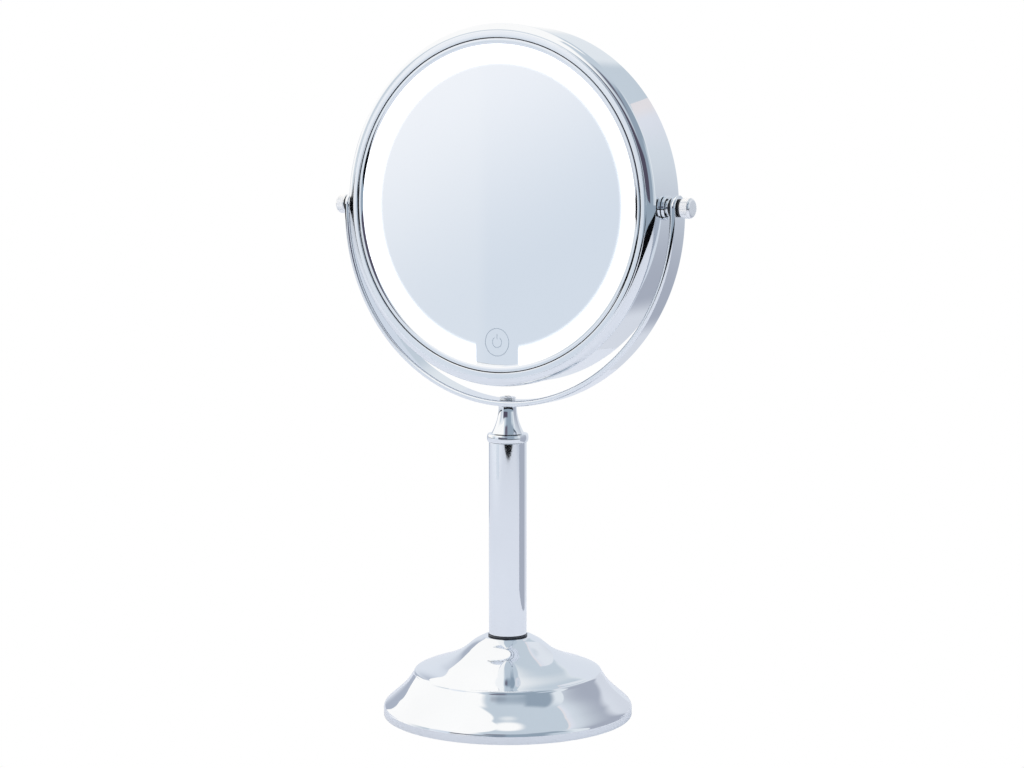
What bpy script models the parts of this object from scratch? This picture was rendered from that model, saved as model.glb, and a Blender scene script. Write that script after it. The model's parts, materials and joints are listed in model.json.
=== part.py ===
"""Lighted vanity mirror: a two-sided round head in a yoke, on a column and a weighted bell base.

Frame: metres, +Z up. The origin is the centre of the resting face. The lit mirror faces -Y.
The head turns about a horizontal axis along X, PIVOT_Z above the table.
"""
import math

import bmesh
import bpy
from mathutils import Vector

MM = 0.001

# Driving dimensions, all in millimetres
PIVOT_Z = 300.0            # height of the head's tilt axis
GAP = 0.3                  # air left between neighbouring pieces

BASE_RADIUS = 73.4
BASE_TOP_Z = 47.0
SHELL_WALL = 1.2
RIM_BOTTOM_Z = 0.8         # the chrome rim hangs just clear of the table

WEIGHT_RADIUS = 64.0
WEIGHT_BOTTOM_Z = 3.0
WEIGHT_TOP_Z = 13.4
PLATE_RADIUS = 69.0
PLATE_BOTTOM_Z = 1.7
PLATE_TOP_Z = 2.7
PAD_INNER_RADIUS = 30.0
PAD_OUTER_RADIUS = 66.0

COLUMN_RADIUS = 11.1
COLUMN_WALL = 1.2
COLUMN_BOTTOM_Z = 48.2
COLLAR_BOTTOM_Z = 162.6
COLLAR_TOP_Z = 167.2
COLLAR_RADIUS = 12.2
NECK_TOP_Z = 183.2
NECK_FOOT_RADIUS = 9.6
NECK_WAIST_RADIUS = 5.3
TIE_ROD_RADIUS = 4.0

YOKE_RADIUS = 112.2        # outer face of the band
YOKE_CENTRE_DROP = 4.3     # the arc's centre lies this far below the tilt axis
YOKE_THICKNESS = 3.4
YOKE_WIDTH = 14.0

DRUM_RADIUS = 103.3
DRUM_WALL = 1.0
DRUM_FRONT_Y = -11.2
DRUM_BACK_Y = 16.4
BACK_OPENING_RADIUS = 95.0
BEZEL_RADIUS = 103.8
BEZEL_OPENING_RADIUS = 91.5
GLASS_RADIUS = 98.5
GLASS_THICKNESS = 3.0
FRONT_GLASS_Y = -11.7      # front face of the lit mirror
REAR_GLASS_THICKNESS = 2.5
REAR_GLASS_CURVATURE = 1000.0
REAR_GLASS_RIM_Y = 14.0
CARRIER_FRONT_Y = -2.2
CARRIER_BACK_Y = -0.7
CARRIER_RADIUS = 99.9

WINDOW_INNER_RADIUS = 81.5 # the lit ring lies between this and the bezel's opening
TAB_HALF_ANGLE = math.radians(9.6)
TOUCH_DROP = 78.4          # the touch button's centre below the tilt axis
TOUCH_HOLE_DROP = 67.0
LED_COUNT = 28
LED_RING_RADIUS = 87.2

BOARD_SIZE = (44.0, 1.6, 26.0)
BOARD_CENTRE_Y = 1.7
BOARD_CENTRE_Z = 21.0
BOARD_SCREW_X = 18.0
CELL_SIZE = (52.0, 5.6, 44.0)
CELL_CENTRE = (0.0, 2.6, -40.0)
PORT_Y = 2.6               # the charging socket's centre line
PORT_SIZE = (9.0, 3.2, 7.6)
PORT_CENTRE_Z = -99.2
LEAD_RADIUS = 0.8
LEAD_Y = 0.8               # the leads lie along the carrier's back

STUD_RADIUS = 2.0
STUD_HOLE_RADIUS = 2.4
KNOB_RADIUS = 5.75
KNOB_START_X = 113.9
KNOB_END_X = 120.1
KNURL_DEPTH = 0.3

RING_SEGMENTS = 40
COLUMN_SEGMENTS = 24
SMALL_SEGMENTS = 16
HOLE_SEGMENTS = 12
KNURL_RIDGES = 20

# colour, roughness, metallic
CHROME = ((0.86, 0.88, 0.91), 0.06, 1.0)
ZINC = ((0.62, 0.64, 0.66), 0.35, 1.0)
MIRROR = ((0.90, 0.93, 0.96), 0.02, 1.0)
COPPER = ((0.72, 0.45, 0.20), 0.3, 1.0)
IRON = ((0.12, 0.12, 0.13), 0.70, 0.6)
BLACK_NYLON = ((0.02, 0.02, 0.022), 0.45, 0.0)
FOAM = ((0.05, 0.05, 0.055), 0.90, 0.0)
FELT = ((0.07, 0.07, 0.08), 0.95, 0.0)
WHITE_PLASTIC = ((0.88, 0.88, 0.87), 0.50, 0.0)
OPAL = ((0.97, 0.97, 0.96), 0.40, 0.0)
BOARD_WHITE = ((0.92, 0.92, 0.90), 0.35, 0.0)
BOARD_GREEN = ((0.04, 0.22, 0.10), 0.40, 0.0)
CELL_BLUE = ((0.10, 0.24, 0.55), 0.40, 0.0)
WIRE_RED = ((0.60, 0.04, 0.04), 0.45, 0.0)
WIRE_BLACK = ((0.02, 0.02, 0.02), 0.45, 0.0)
WIRE_WHITE = ((0.85, 0.85, 0.85), 0.45, 0.0)

TO_BACK = (math.radians(-90.0), 0.0, 0.0)      # a piece's own +Z points along +Y
TO_RIGHT = (0.0, math.radians(90.0), 0.0)      # a piece's own +Z points along +X
TO_LEFT = (0.0, math.radians(-90.0), 0.0)
LYING = (math.radians(90.0), 0.0, 0.0)          # a slab's thickness points along +Z
SIDES = (("left", -1.0, TO_LEFT), ("right", 1.0, TO_RIGHT))


# Helpers


def clear_scene():
    for obj in list(bpy.data.objects):
        bpy.data.objects.remove(obj, do_unlink=True)


def empty(name, location):
    obj = bpy.data.objects.new(name, None)
    obj.location = Vector(location) * MM
    bpy.context.collection.objects.link(obj)
    return obj


def finish_material(name, finish):
    colour, roughness, metallic = finish
    material = bpy.data.materials.new(name)
    material.use_nodes = True
    shader = material.node_tree.nodes["Principled BSDF"]
    shader.inputs["Base Color"].default_value = (*colour, 1.0)
    shader.inputs["Roughness"].default_value = roughness
    shader.inputs["Metallic"].default_value = metallic
    return material


def add_object(name, data, finish, location, rotation, parent):
    obj = bpy.data.objects.new(name, data)
    bpy.context.collection.objects.link(obj)
    if finish is not None:
        data.materials.append(finish_material(name, finish))
    obj.location = Vector(location) * MM
    obj.rotation_euler = rotation
    obj.parent = parent
    return obj


def to_mesh(name, bm, smooth_angle=35.0):
    bmesh.ops.recalc_face_normals(bm, faces=bm.faces)
    bmesh.ops.scale(bm, vec=(MM, MM, MM), verts=bm.verts)
    mesh = bpy.data.meshes.new(name)
    bm.to_mesh(mesh)
    bm.free()
    mesh.shade_smooth()
    mesh.set_sharp_from_angle(angle=math.radians(smooth_angle))
    return mesh


def arc_points(start, end, bulge, steps):
    """Points after start up to end on a circular arc that stands bulge to the left of the chord."""
    (x0, y0), (x1, y1) = start, end
    chord = math.hypot(x1 - x0, y1 - y0)
    radius = (chord * chord / 4.0 + bulge * bulge) / (2.0 * abs(bulge))
    side = math.copysign(1.0, bulge)
    left = (-(y1 - y0) / chord * side, (x1 - x0) / chord * side)
    depth = radius - abs(bulge)
    centre = ((x0 + x1) / 2.0 - left[0] * depth, (y0 + y1) / 2.0 - left[1] * depth)
    first = math.atan2(y0 - centre[1], x0 - centre[0])
    last = math.atan2(y1 - centre[1], x1 - centre[0])
    sweep = (last - first + math.pi) % (2.0 * math.pi) - math.pi
    angles = [first + sweep * i / steps for i in range(1, steps + 1)]
    return [(centre[0] + radius * math.cos(a), centre[1] + radius * math.sin(a)) for a in angles]


def smooth_path(stations, steps):
    """A Catmull-Rom curve through the stations, with the given steps between each two."""
    first = [2.0 * a - b for a, b in zip(stations[0], stations[1])]
    last = [2.0 * a - b for a, b in zip(stations[-1], stations[-2])]
    guides = [first, *stations, last]
    points = []
    for i in range(1, len(guides) - 2):
        p0, p1, p2, p3 = guides[i - 1:i + 3]
        for k in range(steps):
            t = k / steps
            points.append(tuple(
                0.5 * (2.0 * b + (c - a) * t + (2.0 * a - 5.0 * b + 4.0 * c - d) * t * t
                       + (3.0 * b - a - 3.0 * c + d) * t ** 3)
                for a, b, c, d in zip(p0, p1, p2, p3)))
    points.append(tuple(stations[-1]))
    return points


def lathe_mesh(name, profile, segments, outline=None):
    """A solid turned about its own Z from a closed profile of (radius, height).

    A profile that starts and ends on the axis closes there. outline(radius, angle) may change a
    radius around the turn, for a hexagon or a knurl.
    """
    bm = bmesh.new()
    half_step = math.pi / segments       # keeps corners off the planes of symmetry
    closed_loop = profile[0][0] != 0.0
    flat_bottom = not closed_loop and profile[0][1] == profile[1][1]
    flat_top = not closed_loop and profile[-1][1] == profile[-2][1]
    rings = []
    for radius, height in profile[int(flat_bottom):len(profile) - int(flat_top)]:
        if radius == 0.0:
            rings.append([bm.verts.new((0.0, 0.0, height))])
            continue
        ring = []
        for i in range(segments):
            angle = 2.0 * math.pi * i / segments
            r = outline(radius, angle) if outline else radius
            angle += half_step
            ring.append(bm.verts.new((r * math.cos(angle), r * math.sin(angle), height)))
        rings.append(ring)
    for lower, upper in zip(rings, rings[1:] + rings[:1] if closed_loop else rings[1:]):
        for i in range(segments):
            j = (i + 1) % segments
            corners = [lower[i % len(lower)], lower[j % len(lower)],
                       upper[j % len(upper)], upper[i % len(upper)]]
            bm.faces.new(list(dict.fromkeys(corners)))
    if flat_bottom:
        bm.faces.new(rings[0])
    if flat_top:
        bm.faces.new(rings[-1])
    return to_mesh(name, bm)


def lathe(name, profile, finish, segments=RING_SEGMENTS, location=(0, 0, 0), rotation=(0, 0, 0),
          parent=None, outline=None):
    mesh = lathe_mesh(name, profile, segments, outline)
    return add_object(name, mesh, finish, location, rotation, parent)


def ring_profile(inner, outer, low, high):
    return [(inner, low), (outer, low), (outer, high), (inner, high)]


def open_ring(name, inner, outer, low, high, finish, parent, gap_half_angle, segments):
    """A flat ring that stops short on both sides of the bottom, where the touch button sits."""
    bm = bmesh.new()
    sections = []
    for i in range(segments + 1):
        turn = gap_half_angle + (2.0 * math.pi - 2.0 * gap_half_angle) * i / segments
        x, z = -math.sin(turn), -math.cos(turn)
        corners = [(inner, low), (outer, low), (outer, high), (inner, high)]
        sections.append([bm.verts.new((x * r, y, z * r)) for r, y in corners])
    for a, b in zip(sections, sections[1:]):
        for k in range(4):
            bm.faces.new((a[k], a[(k + 1) % 4], b[(k + 1) % 4], b[k]))
    bm.faces.new(sections[0])
    bm.faces.new(sections[-1])
    return add_object(name, to_mesh(name, bm), finish, (0, 0, 0), (0, 0, 0), parent)


def slab(name, size, centre, finish, parent, corner=0.0, rotation=(0, 0, 0)):
    """A plate with its thickness along its own Y and rounded corners across it."""
    corner_steps = 3
    width, thickness, height = size
    outline = []
    for quarter, (sx, sz) in enumerate(((1, 1), (-1, 1), (-1, -1), (1, -1))):
        cx = sx * (width / 2.0 - corner)
        cz = sz * (height / 2.0 - corner)
        steps = corner_steps if corner else 0
        for k in range(steps + 1):
            angle = math.pi / 2.0 * (quarter + (k / steps if steps else 0.5))
            outline.append((cx + corner * math.cos(angle), cz + corner * math.sin(angle)))
    bm = bmesh.new()
    front = [bm.verts.new((x, -thickness / 2.0, z)) for x, z in outline]
    back = [bm.verts.new((x, thickness / 2.0, z)) for x, z in outline]
    bm.faces.new(front)
    bm.faces.new(back)
    for i in range(len(outline)):
        j = (i + 1) % len(outline)
        bm.faces.new((front[i], front[j], back[j], back[i]))
    return add_object(name, to_mesh(name, bm), finish, centre, rotation, parent)


def make_tool(obj):
    obj.hide_render = True
    obj.display_type = "WIRE"
    return obj


def combine(target, tool, operation):
    modifier = target.modifiers.new(tool.name, "BOOLEAN")
    modifier.operation = operation
    modifier.solver = "EXACT"
    modifier.object = make_tool(tool)


def drill(target, name, centre, radius, length, rotation=(0, 0, 0), parent=None):
    """Cut a round hole of the given length, centred on centre, along the tool's own Z."""
    half = length / 2.0
    profile = [(0.0, -half), (radius, -half), (radius, half), (0.0, half)]
    tool = lathe(name, profile, None, HOLE_SEGMENTS, centre, rotation, parent)
    combine(target, tool, "DIFFERENCE")


def hexagon(inner_radius):
    """Outline for a nut: radii beyond the bore become half the width across flats."""
    def shape(radius, angle):
        if radius <= inner_radius:
            return radius
        sixth = math.pi / 3.0
        offset = (angle % sixth) - sixth / 2.0
        return radius / math.cos(offset)
    return shape


def lead(name, points, radius, finish, parent):
    """A wire: a smooth round tube through the points, closed at both ends."""
    curve = bpy.data.curves.new(name, "CURVE")
    curve.dimensions = "3D"
    curve.bevel_depth = radius * MM
    curve.bevel_resolution = 1
    curve.resolution_u = 3
    curve.use_fill_caps = True
    spline = curve.splines.new("BEZIER")
    spline.bezier_points.add(len(points) - 1)
    for knot, point in zip(spline.bezier_points, points):
        knot.co = Vector(point) * MM
        knot.handle_left_type = "AUTO"
        knot.handle_right_type = "AUTO"
    return add_object(name, curve, finish, (0, 0, 0), (0, 0, 0), parent)


# Base


def base_outline():
    """The bell's outer line from the top rim outwards and down: sweep, shoulder edge, cove, lip."""
    sweep = [(14.4, 46.9), (20.0, 43.8), (29.0, 37.0), (40.5, 31.7), (50.0, 28.5), (54.4, 26.6)]
    cove = [(55.5, 25.3), (60.5, 18.2), (66.5, 12.4), (72.2, 7.4), (BASE_RADIUS, 4.8)]
    return ([(13.4, BASE_TOP_Z)] + smooth_path(sweep, 2) + smooth_path(cove, 2)
            + [(BASE_RADIUS, RIM_BOTTOM_Z)])


def inset_line(points, distance):
    """The same line moved inwards along its normals, down and towards the axis."""
    moved = []
    for i, (r, z) in enumerate(points):
        before = points[max(i - 1, 0)]
        after = points[min(i + 1, len(points) - 1)]
        run, rise = after[0] - before[0], after[1] - before[1]
        length = math.hypot(run, rise)
        moved.append((r + rise / length * distance, z - run / length * distance))
    return moved


def build_base():
    rod_hole = TIE_ROD_RADIUS + 0.5
    shell_ceiling = BASE_TOP_Z - SHELL_WALL
    outer = base_outline()
    inner = inset_line(outer, SHELL_WALL)
    inner[0] = (inner[0][0], shell_ceiling)
    inner[-1] = (inner[-1][0], RIM_BOTTOM_Z)
    profile = [(rod_hole, BASE_TOP_Z)] + outer + inner[::-1] + [(rod_hole, shell_ceiling)]
    lathe("base_shell", profile, CHROME)

    recess_radius, recess_top = 11.0, 9.4
    bevel_width, bevel_height = 2.5, 1.5
    weight_profile = [(rod_hole, recess_top), (recess_radius, recess_top),
                      (recess_radius, WEIGHT_BOTTOM_Z), (WEIGHT_RADIUS, WEIGHT_BOTTOM_Z),
                      (WEIGHT_RADIUS, WEIGHT_TOP_Z - bevel_height),
                      (WEIGHT_RADIUS - bevel_width, WEIGHT_TOP_Z), (rod_hole, WEIGHT_TOP_Z)]
    weight = lathe("base_weight", weight_profile, IRON)
    plate = lathe("base_plate", [(0.0, PLATE_BOTTOM_Z), (PLATE_RADIUS, PLATE_BOTTOM_Z),
                                 (PLATE_RADIUS, PLATE_TOP_Z), (0.0, PLATE_TOP_Z)], ZINC)
    lathe("base_pad", ring_profile(PAD_INNER_RADIUS, PAD_OUTER_RADIUS, 0.0, PLATE_BOTTOM_Z - GAP),
          FELT)
    build_base_screws(weight, plate)
    build_tie_rod(recess_top, shell_ceiling)


def build_base_screws(weight, plate):
    """Three pan-head screws through the cover plate into the weight."""
    circle, hole, shank, length = 22.0, 1.9, 1.5, 7.0
    head_radius, head_low, head_edge = 3.1, 0.4, 0.3
    head_high = PLATE_BOTTOM_Z - GAP
    profile = [(0.0, head_low), (head_radius - 0.8, head_low), (head_radius, head_high - head_edge),
               (head_radius, head_high), (shank, head_high), (shank, head_high + length),
               (0.0, head_high + length)]
    for i in range(3):
        angle = math.radians(90.0 + 120.0 * i)
        x, y = circle * math.cos(angle), circle * math.sin(angle)
        drill(plate, f"cut_plate_{i + 1}", (x, y, PLATE_BOTTOM_Z), hole, 6.0)
        drill(weight, f"cut_weight_{i + 1}", (x, y, WEIGHT_BOTTOM_Z), hole, 13.0)
        lathe(f"base_screw_{i + 1}", profile, ZINC, HOLE_SEGMENTS, (x, y, 0.0))


def build_tie_rod(recess_top, shell_ceiling):
    """The stud up the column's middle, with its nut and washer, and the tube round it."""
    lathe("spacer_tube", ring_profile(6.0, 8.5, WEIGHT_TOP_Z + GAP, shell_ceiling - GAP), ZINC,
          SMALL_SEGMENTS)
    rod_bottom, rod_top = 3.2, COLLAR_TOP_Z + 6.0
    nut_bore, nut_bottom, nut_top = TIE_ROD_RADIUS + 0.1, 3.4, 7.2
    lathe("rod_nut", ring_profile(nut_bore, 6.5, nut_bottom, nut_top), ZINC, 24,
          outline=hexagon(nut_bore))
    lathe("rod_washer", ring_profile(TIE_ROD_RADIUS + 0.4, 9.5, nut_top + GAP, recess_top - GAP),
          ZINC, SMALL_SEGMENTS)
    lathe("tie_rod", [(0.0, rod_bottom), (TIE_ROD_RADIUS, rod_bottom), (TIE_ROD_RADIUS, rod_top),
                      (0.0, rod_top)], ZINC, SMALL_SEGMENTS)


# Column, collar and neck


def build_column():
    lathe("column_gasket", ring_profile(8.0, COLUMN_RADIUS + 0.5, BASE_TOP_Z + 0.2,
                                        COLUMN_BOTTOM_Z - 0.2), BLACK_NYLON, COLUMN_SEGMENTS)
    bore = COLUMN_RADIUS - COLUMN_WALL
    lathe("column_tube", ring_profile(bore, COLUMN_RADIUS, COLUMN_BOTTOM_Z, COLLAR_BOTTOM_Z - GAP),
          CHROME, COLUMN_SEGMENTS)

    bead_bulge = 0.5
    bead_root = COLLAR_RADIUS - bead_bulge
    spigot_bottom = COLLAR_BOTTOM_Z - 6.0
    hole = TIE_ROD_RADIUS + 0.4
    bead = arc_points((bead_root, COLLAR_BOTTOM_Z), (bead_root, COLLAR_TOP_Z), -bead_bulge, 4)
    profile = [(hole, spigot_bottom), (bore - GAP, spigot_bottom), (bore - GAP, COLLAR_BOTTOM_Z),
               (bead_root, COLLAR_BOTTOM_Z), *bead, (hole, COLLAR_TOP_Z)]
    lathe("column_collar", profile, CHROME, COLUMN_SEGMENTS)


def build_neck():
    foot = COLLAR_TOP_Z + GAP
    flare_steps = 8
    flare = []
    for i in range(flare_steps + 1):
        t = i / flare_steps
        radius = NECK_WAIST_RADIUS + (NECK_FOOT_RADIUS - NECK_WAIST_RADIUS) * (1.0 - t) ** 2
        flare.append((radius, foot + (NECK_TOP_Z - foot) * t))
    rod_socket, screw_socket = TIE_ROD_RADIUS + 0.2, 2.8
    socket_top = COLLAR_TOP_Z + 6.6
    screw_bottom = NECK_TOP_Z - 7.0
    profile = [(0.0, socket_top), (rod_socket, socket_top), (rod_socket, foot), *flare,
               (screw_socket, NECK_TOP_Z), (screw_socket, screw_bottom), (0.0, screw_bottom)]
    lathe("neck", profile, CHROME, COLUMN_SEGMENTS)


# Yoke


def yoke_path():
    """Stations (x, z, outward x, outward z, half width) along the band, from left ear to right."""
    half = YOKE_WIDTH / 2.0
    middle = YOKE_RADIUS - YOKE_THICKNESS / 2.0
    ear_angles = [math.radians(a) for a in (18.0, 40.0, 65.0, 90.0)]
    ear = [(-middle, half * math.cos(a), -1.0, 0.0, half * math.sin(a)) for a in ear_angles]
    arc = []
    arc_steps = 35
    for i in range(arc_steps + 1):
        angle = math.pi + math.pi * i / arc_steps
        out_x, out_z = math.cos(angle), math.sin(angle)
        arc.append((middle * out_x, middle * out_z - YOKE_CENTRE_DROP, out_x, out_z, half))
    right = [(-x, z, -ox, oz, w) for x, z, ox, oz, w in reversed(ear)]
    return ear + arc + right


def build_yoke(pivot):
    chamfer = 0.7
    half_thickness = YOKE_THICKNESS / 2.0
    bm = bmesh.new()
    sections = []
    for x, z, out_x, out_z, half in yoke_path():
        corners = [(-half + chamfer, half_thickness), (half - chamfer, half_thickness),
                   (half, half_thickness - chamfer), (half, chamfer - half_thickness),
                   (half - chamfer, -half_thickness), (chamfer - half, -half_thickness),
                   (-half, chamfer - half_thickness), (-half, half_thickness - chamfer)]
        sections.append([bm.verts.new((x + out_x * t, y, z + out_z * t)) for y, t in corners])
    count = len(sections[0])
    for a, b in zip(sections, sections[1:]):
        for k in range(count):
            bm.faces.new((a[k], a[(k + 1) % count], b[(k + 1) % count], b[k]))
    bm.faces.new(sections[0])
    bm.faces.new(sections[-1])
    yoke = add_object("yoke", to_mesh("yoke", bm), CHROME, (0, 0, 0), (0, 0, 0), pivot)
    middle = YOKE_RADIUS - YOKE_THICKNESS / 2.0
    for side_name, side, rotation in SIDES:
        drill(yoke, f"cut_{side_name}_ear", (side * middle, 0, 0), STUD_HOLE_RADIUS, 8.0, rotation,
              pivot)
    drill(yoke, "cut_yoke_foot", (0, 0, -middle - YOKE_CENTRE_DROP), 2.8, 8.0, parent=pivot)


def build_yoke_screw():
    band_top = PIVOT_Z - YOKE_CENTRE_DROP - YOKE_RADIUS + YOKE_THICKNESS
    washer_low = band_top + GAP
    washer_high = washer_low + 0.6
    head_low = washer_high + GAP
    head_radius, head_height, head_rim, shank = 4.8, 1.1, 0.3, 2.5
    lathe("yoke_washer", ring_profile(2.8, 4.8, washer_low, washer_high), ZINC, SMALL_SEGMENTS)
    dome = [(head_radius * math.cos(a), head_low + head_rim + (head_height - head_rim) * math.sin(a))
            for a in (math.radians(d) for d in (0.0, 25.0, 50.0, 72.0))]
    shank_bottom = NECK_TOP_Z - 6.4
    profile = [(0.0, shank_bottom), (shank, shank_bottom), (shank, head_low),
               (head_radius, head_low), *dome, (0.0, head_low + head_height)]
    lathe("yoke_screw", profile, CHROME, SMALL_SEGMENTS)


# Head: outer pieces


def build_drum(head):
    inner = DRUM_RADIUS - DRUM_WALL
    flange_front = DRUM_BACK_Y - 1.2
    profile = [(DRUM_RADIUS, DRUM_FRONT_Y), (DRUM_RADIUS, DRUM_BACK_Y - 1.0),
               (DRUM_RADIUS - 0.3, DRUM_BACK_Y - 0.3), (DRUM_RADIUS - 1.0, DRUM_BACK_Y),
               (BACK_OPENING_RADIUS, DRUM_BACK_Y), (BACK_OPENING_RADIUS, flange_front),
               (inner, flange_front), (inner, DRUM_FRONT_Y)]
    drum = lathe("drum_shell", profile, CHROME, rotation=TO_BACK, parent=head)
    middle = DRUM_RADIUS - DRUM_WALL / 2.0
    for side_name, side, rotation in SIDES:
        drill(drum, f"cut_{side_name}_drum", (side * middle, 0, 0), STUD_HOLE_RADIUS, 8.0, rotation,
              head)
    slot_width, slot_depth = PORT_SIZE[0] + 0.8, PORT_SIZE[1] + 0.8
    slot = slab("cut_charge_slot", (slot_width, 8.0, slot_depth), (0.0, PORT_Y, -middle), None,
                head, slot_depth / 2.0 - 0.1, LYING)
    combine(drum, slot, "DIFFERENCE")


def bezel_profile():
    """The front ring's section: a lip, two low beads, a rolled outer edge and a spigot."""
    seat_y = FRONT_GLASS_Y - GAP
    lip = (BEZEL_OPENING_RADIUS + 0.5, -15.0)
    first_crease = (95.4, -15.2)
    second_crease = (99.5, -15.3)
    shoulder = (BEZEL_RADIUS, -12.6)
    flange_back = DRUM_FRONT_Y - GAP
    spigot_outer = DRUM_RADIUS - DRUM_WALL - 0.4
    spigot_inner = spigot_outer - 1.5
    spigot_back = -6.5
    inner_bead = arc_points(lip, first_crease, -0.5, 3)
    main_bead = arc_points(first_crease, second_crease, -0.9, 4)
    rolled_edge = arc_points(second_crease, shoulder, -1.1, 4)
    return [(BEZEL_OPENING_RADIUS, seat_y), lip, *inner_bead, *main_bead, *rolled_edge,
            (BEZEL_RADIUS, flange_back), (spigot_outer, flange_back), (spigot_outer, spigot_back),
            (spigot_inner, spigot_back), (spigot_inner, seat_y)]


def build_front_glass(head):
    lathe("front_bezel", bezel_profile(), CHROME, rotation=TO_BACK, parent=head)
    back = FRONT_GLASS_Y + GLASS_THICKNESS
    lathe("front_mirror", [(0.0, FRONT_GLASS_Y), (GLASS_RADIUS, FRONT_GLASS_Y),
                           (GLASS_RADIUS, back), (0.0, back)], MIRROR,
          rotation=TO_BACK, parent=head)
    gasket_inner, gasket_outer, gasket_back = 95.8, 99.6, -7.9
    lathe("front_gasket", ring_profile(gasket_inner, gasket_outer, back + GAP, gasket_back), FOAM,
          rotation=TO_BACK, parent=head)


def build_rear_glass(head):
    rings = 3
    surface = []
    for i in range(rings + 1):
        radius = GLASS_RADIUS * i / rings
        sag = (GLASS_RADIUS ** 2 - radius ** 2) / (2.0 * REAR_GLASS_CURVATURE)
        surface.append((radius, REAR_GLASS_RIM_Y - sag))
    inner = [(r, y - REAR_GLASS_THICKNESS) for r, y in surface]
    lathe("rear_mirror", inner + surface[::-1], MIRROR, rotation=TO_BACK, parent=head)
    gasket_back = DRUM_BACK_Y - 1.2 - GAP
    lathe("rear_gasket", ring_profile(95.4, 98.8, REAR_GLASS_RIM_Y + GAP, gasket_back), FOAM,
          rotation=TO_BACK, parent=head)
    retainer_back = 10.8
    lathe("rear_retainer", ring_profile(94.0, DRUM_RADIUS - DRUM_WALL - 0.4, retainer_back - 2.0,
                                        retainer_back), WHITE_PLASTIC,
          rotation=TO_BACK, parent=head)


# Head: light, electronics and power


def build_carrier(head):
    rim_front, rim_inner = -7.6, 95.6
    profile = [(0.0, CARRIER_FRONT_Y), (rim_inner, CARRIER_FRONT_Y), (rim_inner, rim_front),
               (CARRIER_RADIUS, rim_front), (CARRIER_RADIUS, CARRIER_BACK_Y),
               (0.0, CARRIER_BACK_Y)]
    carrier = lathe("carrier_plate", profile, WHITE_PLASTIC, rotation=TO_BACK, parent=head)
    boss_back = BOARD_CENTRE_Y - BOARD_SIZE[1] / 2.0 - GAP
    boss_front = CARRIER_FRONT_Y + 0.5
    boss_profile = [(0.0, boss_front), (2.4, boss_front), (2.4, boss_back), (0.0, boss_back)]
    notch_size = (3.8, 5.8, 10.4)          # clears the stud's nut
    for side_name, side, _ in SIDES:
        place = (side * BOARD_SCREW_X, 0, BOARD_CENTRE_Z)
        boss = lathe(f"tool_{side_name}_boss", boss_profile, None, HOLE_SEGMENTS, place, TO_BACK,
                     head)
        combine(carrier, boss, "UNION")
        drill(carrier, f"cut_{side_name}_boss", place, 1.2, 8.0, TO_BACK, head)
        notch = slab(f"cut_{side_name}_notch", notch_size, (side * 100.1, -2.1, 0), None, head)
        combine(carrier, notch, "DIFFERENCE")
    drill(carrier, "cut_led_lead", (-LED_RING_RADIUS, 0, 0), 2.0, 8.0, TO_BACK, head)
    drill(carrier, "cut_touch_lead", (0, 0, -TOUCH_HOLE_DROP), 2.0, 8.0, TO_BACK, head)


def build_light(head):
    open_ring("light_diffuser", WINDOW_INNER_RADIUS - 3.0, 95.2, -8.4, -6.9, OPAL, head,
              TAB_HALF_ANGLE, 36)
    board_front, board_back = -3.5, CARRIER_FRONT_Y - GAP
    board = open_ring("led_board", WINDOW_INNER_RADIUS - 1.5, 94.4, board_front, board_back,
                      BOARD_WHITE, head, TAB_HALF_ANGLE, 36)
    half_size, height = 1.4, 0.8
    bm = bmesh.new()
    for i in range(LED_COUNT):
        turn = TAB_HALF_ANGLE + (2.0 * math.pi - 2.0 * TAB_HALF_ANGLE) * (i + 0.5) / LED_COUNT
        out = Vector((-math.sin(turn), 0.0, -math.cos(turn)))
        along = Vector((-out.z, 0.0, out.x))
        corners = []
        for y in (board_front + height / 4.0, board_front - height):
            for a, b in ((-1, -1), (1, -1), (1, 1), (-1, 1)):
                place = out * (LED_RING_RADIUS + a * half_size) + along * (b * half_size)
                corners.append(bm.verts.new((place.x, y, place.z)))
        faces = [(0, 1, 2, 3), (4, 5, 6, 7), (0, 1, 5, 4), (1, 2, 6, 5), (2, 3, 7, 6), (3, 0, 4, 7)]
        for face in faces:
            bm.faces.new([corners[k] for k in face])
    packages = add_object("tool_leds", to_mesh("tool_leds", bm), None, (0, 0, 0), (0, 0, 0), head)
    combine(board, packages, "UNION")
    pad_profile = [(0.0, -8.4), (8.5, -8.4), (8.5, -7.7), (0.0, -7.7)]
    lathe("touch_pad", pad_profile, COPPER, SMALL_SEGMENTS, (0, 0, -TOUCH_DROP), TO_BACK, head)


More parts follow.
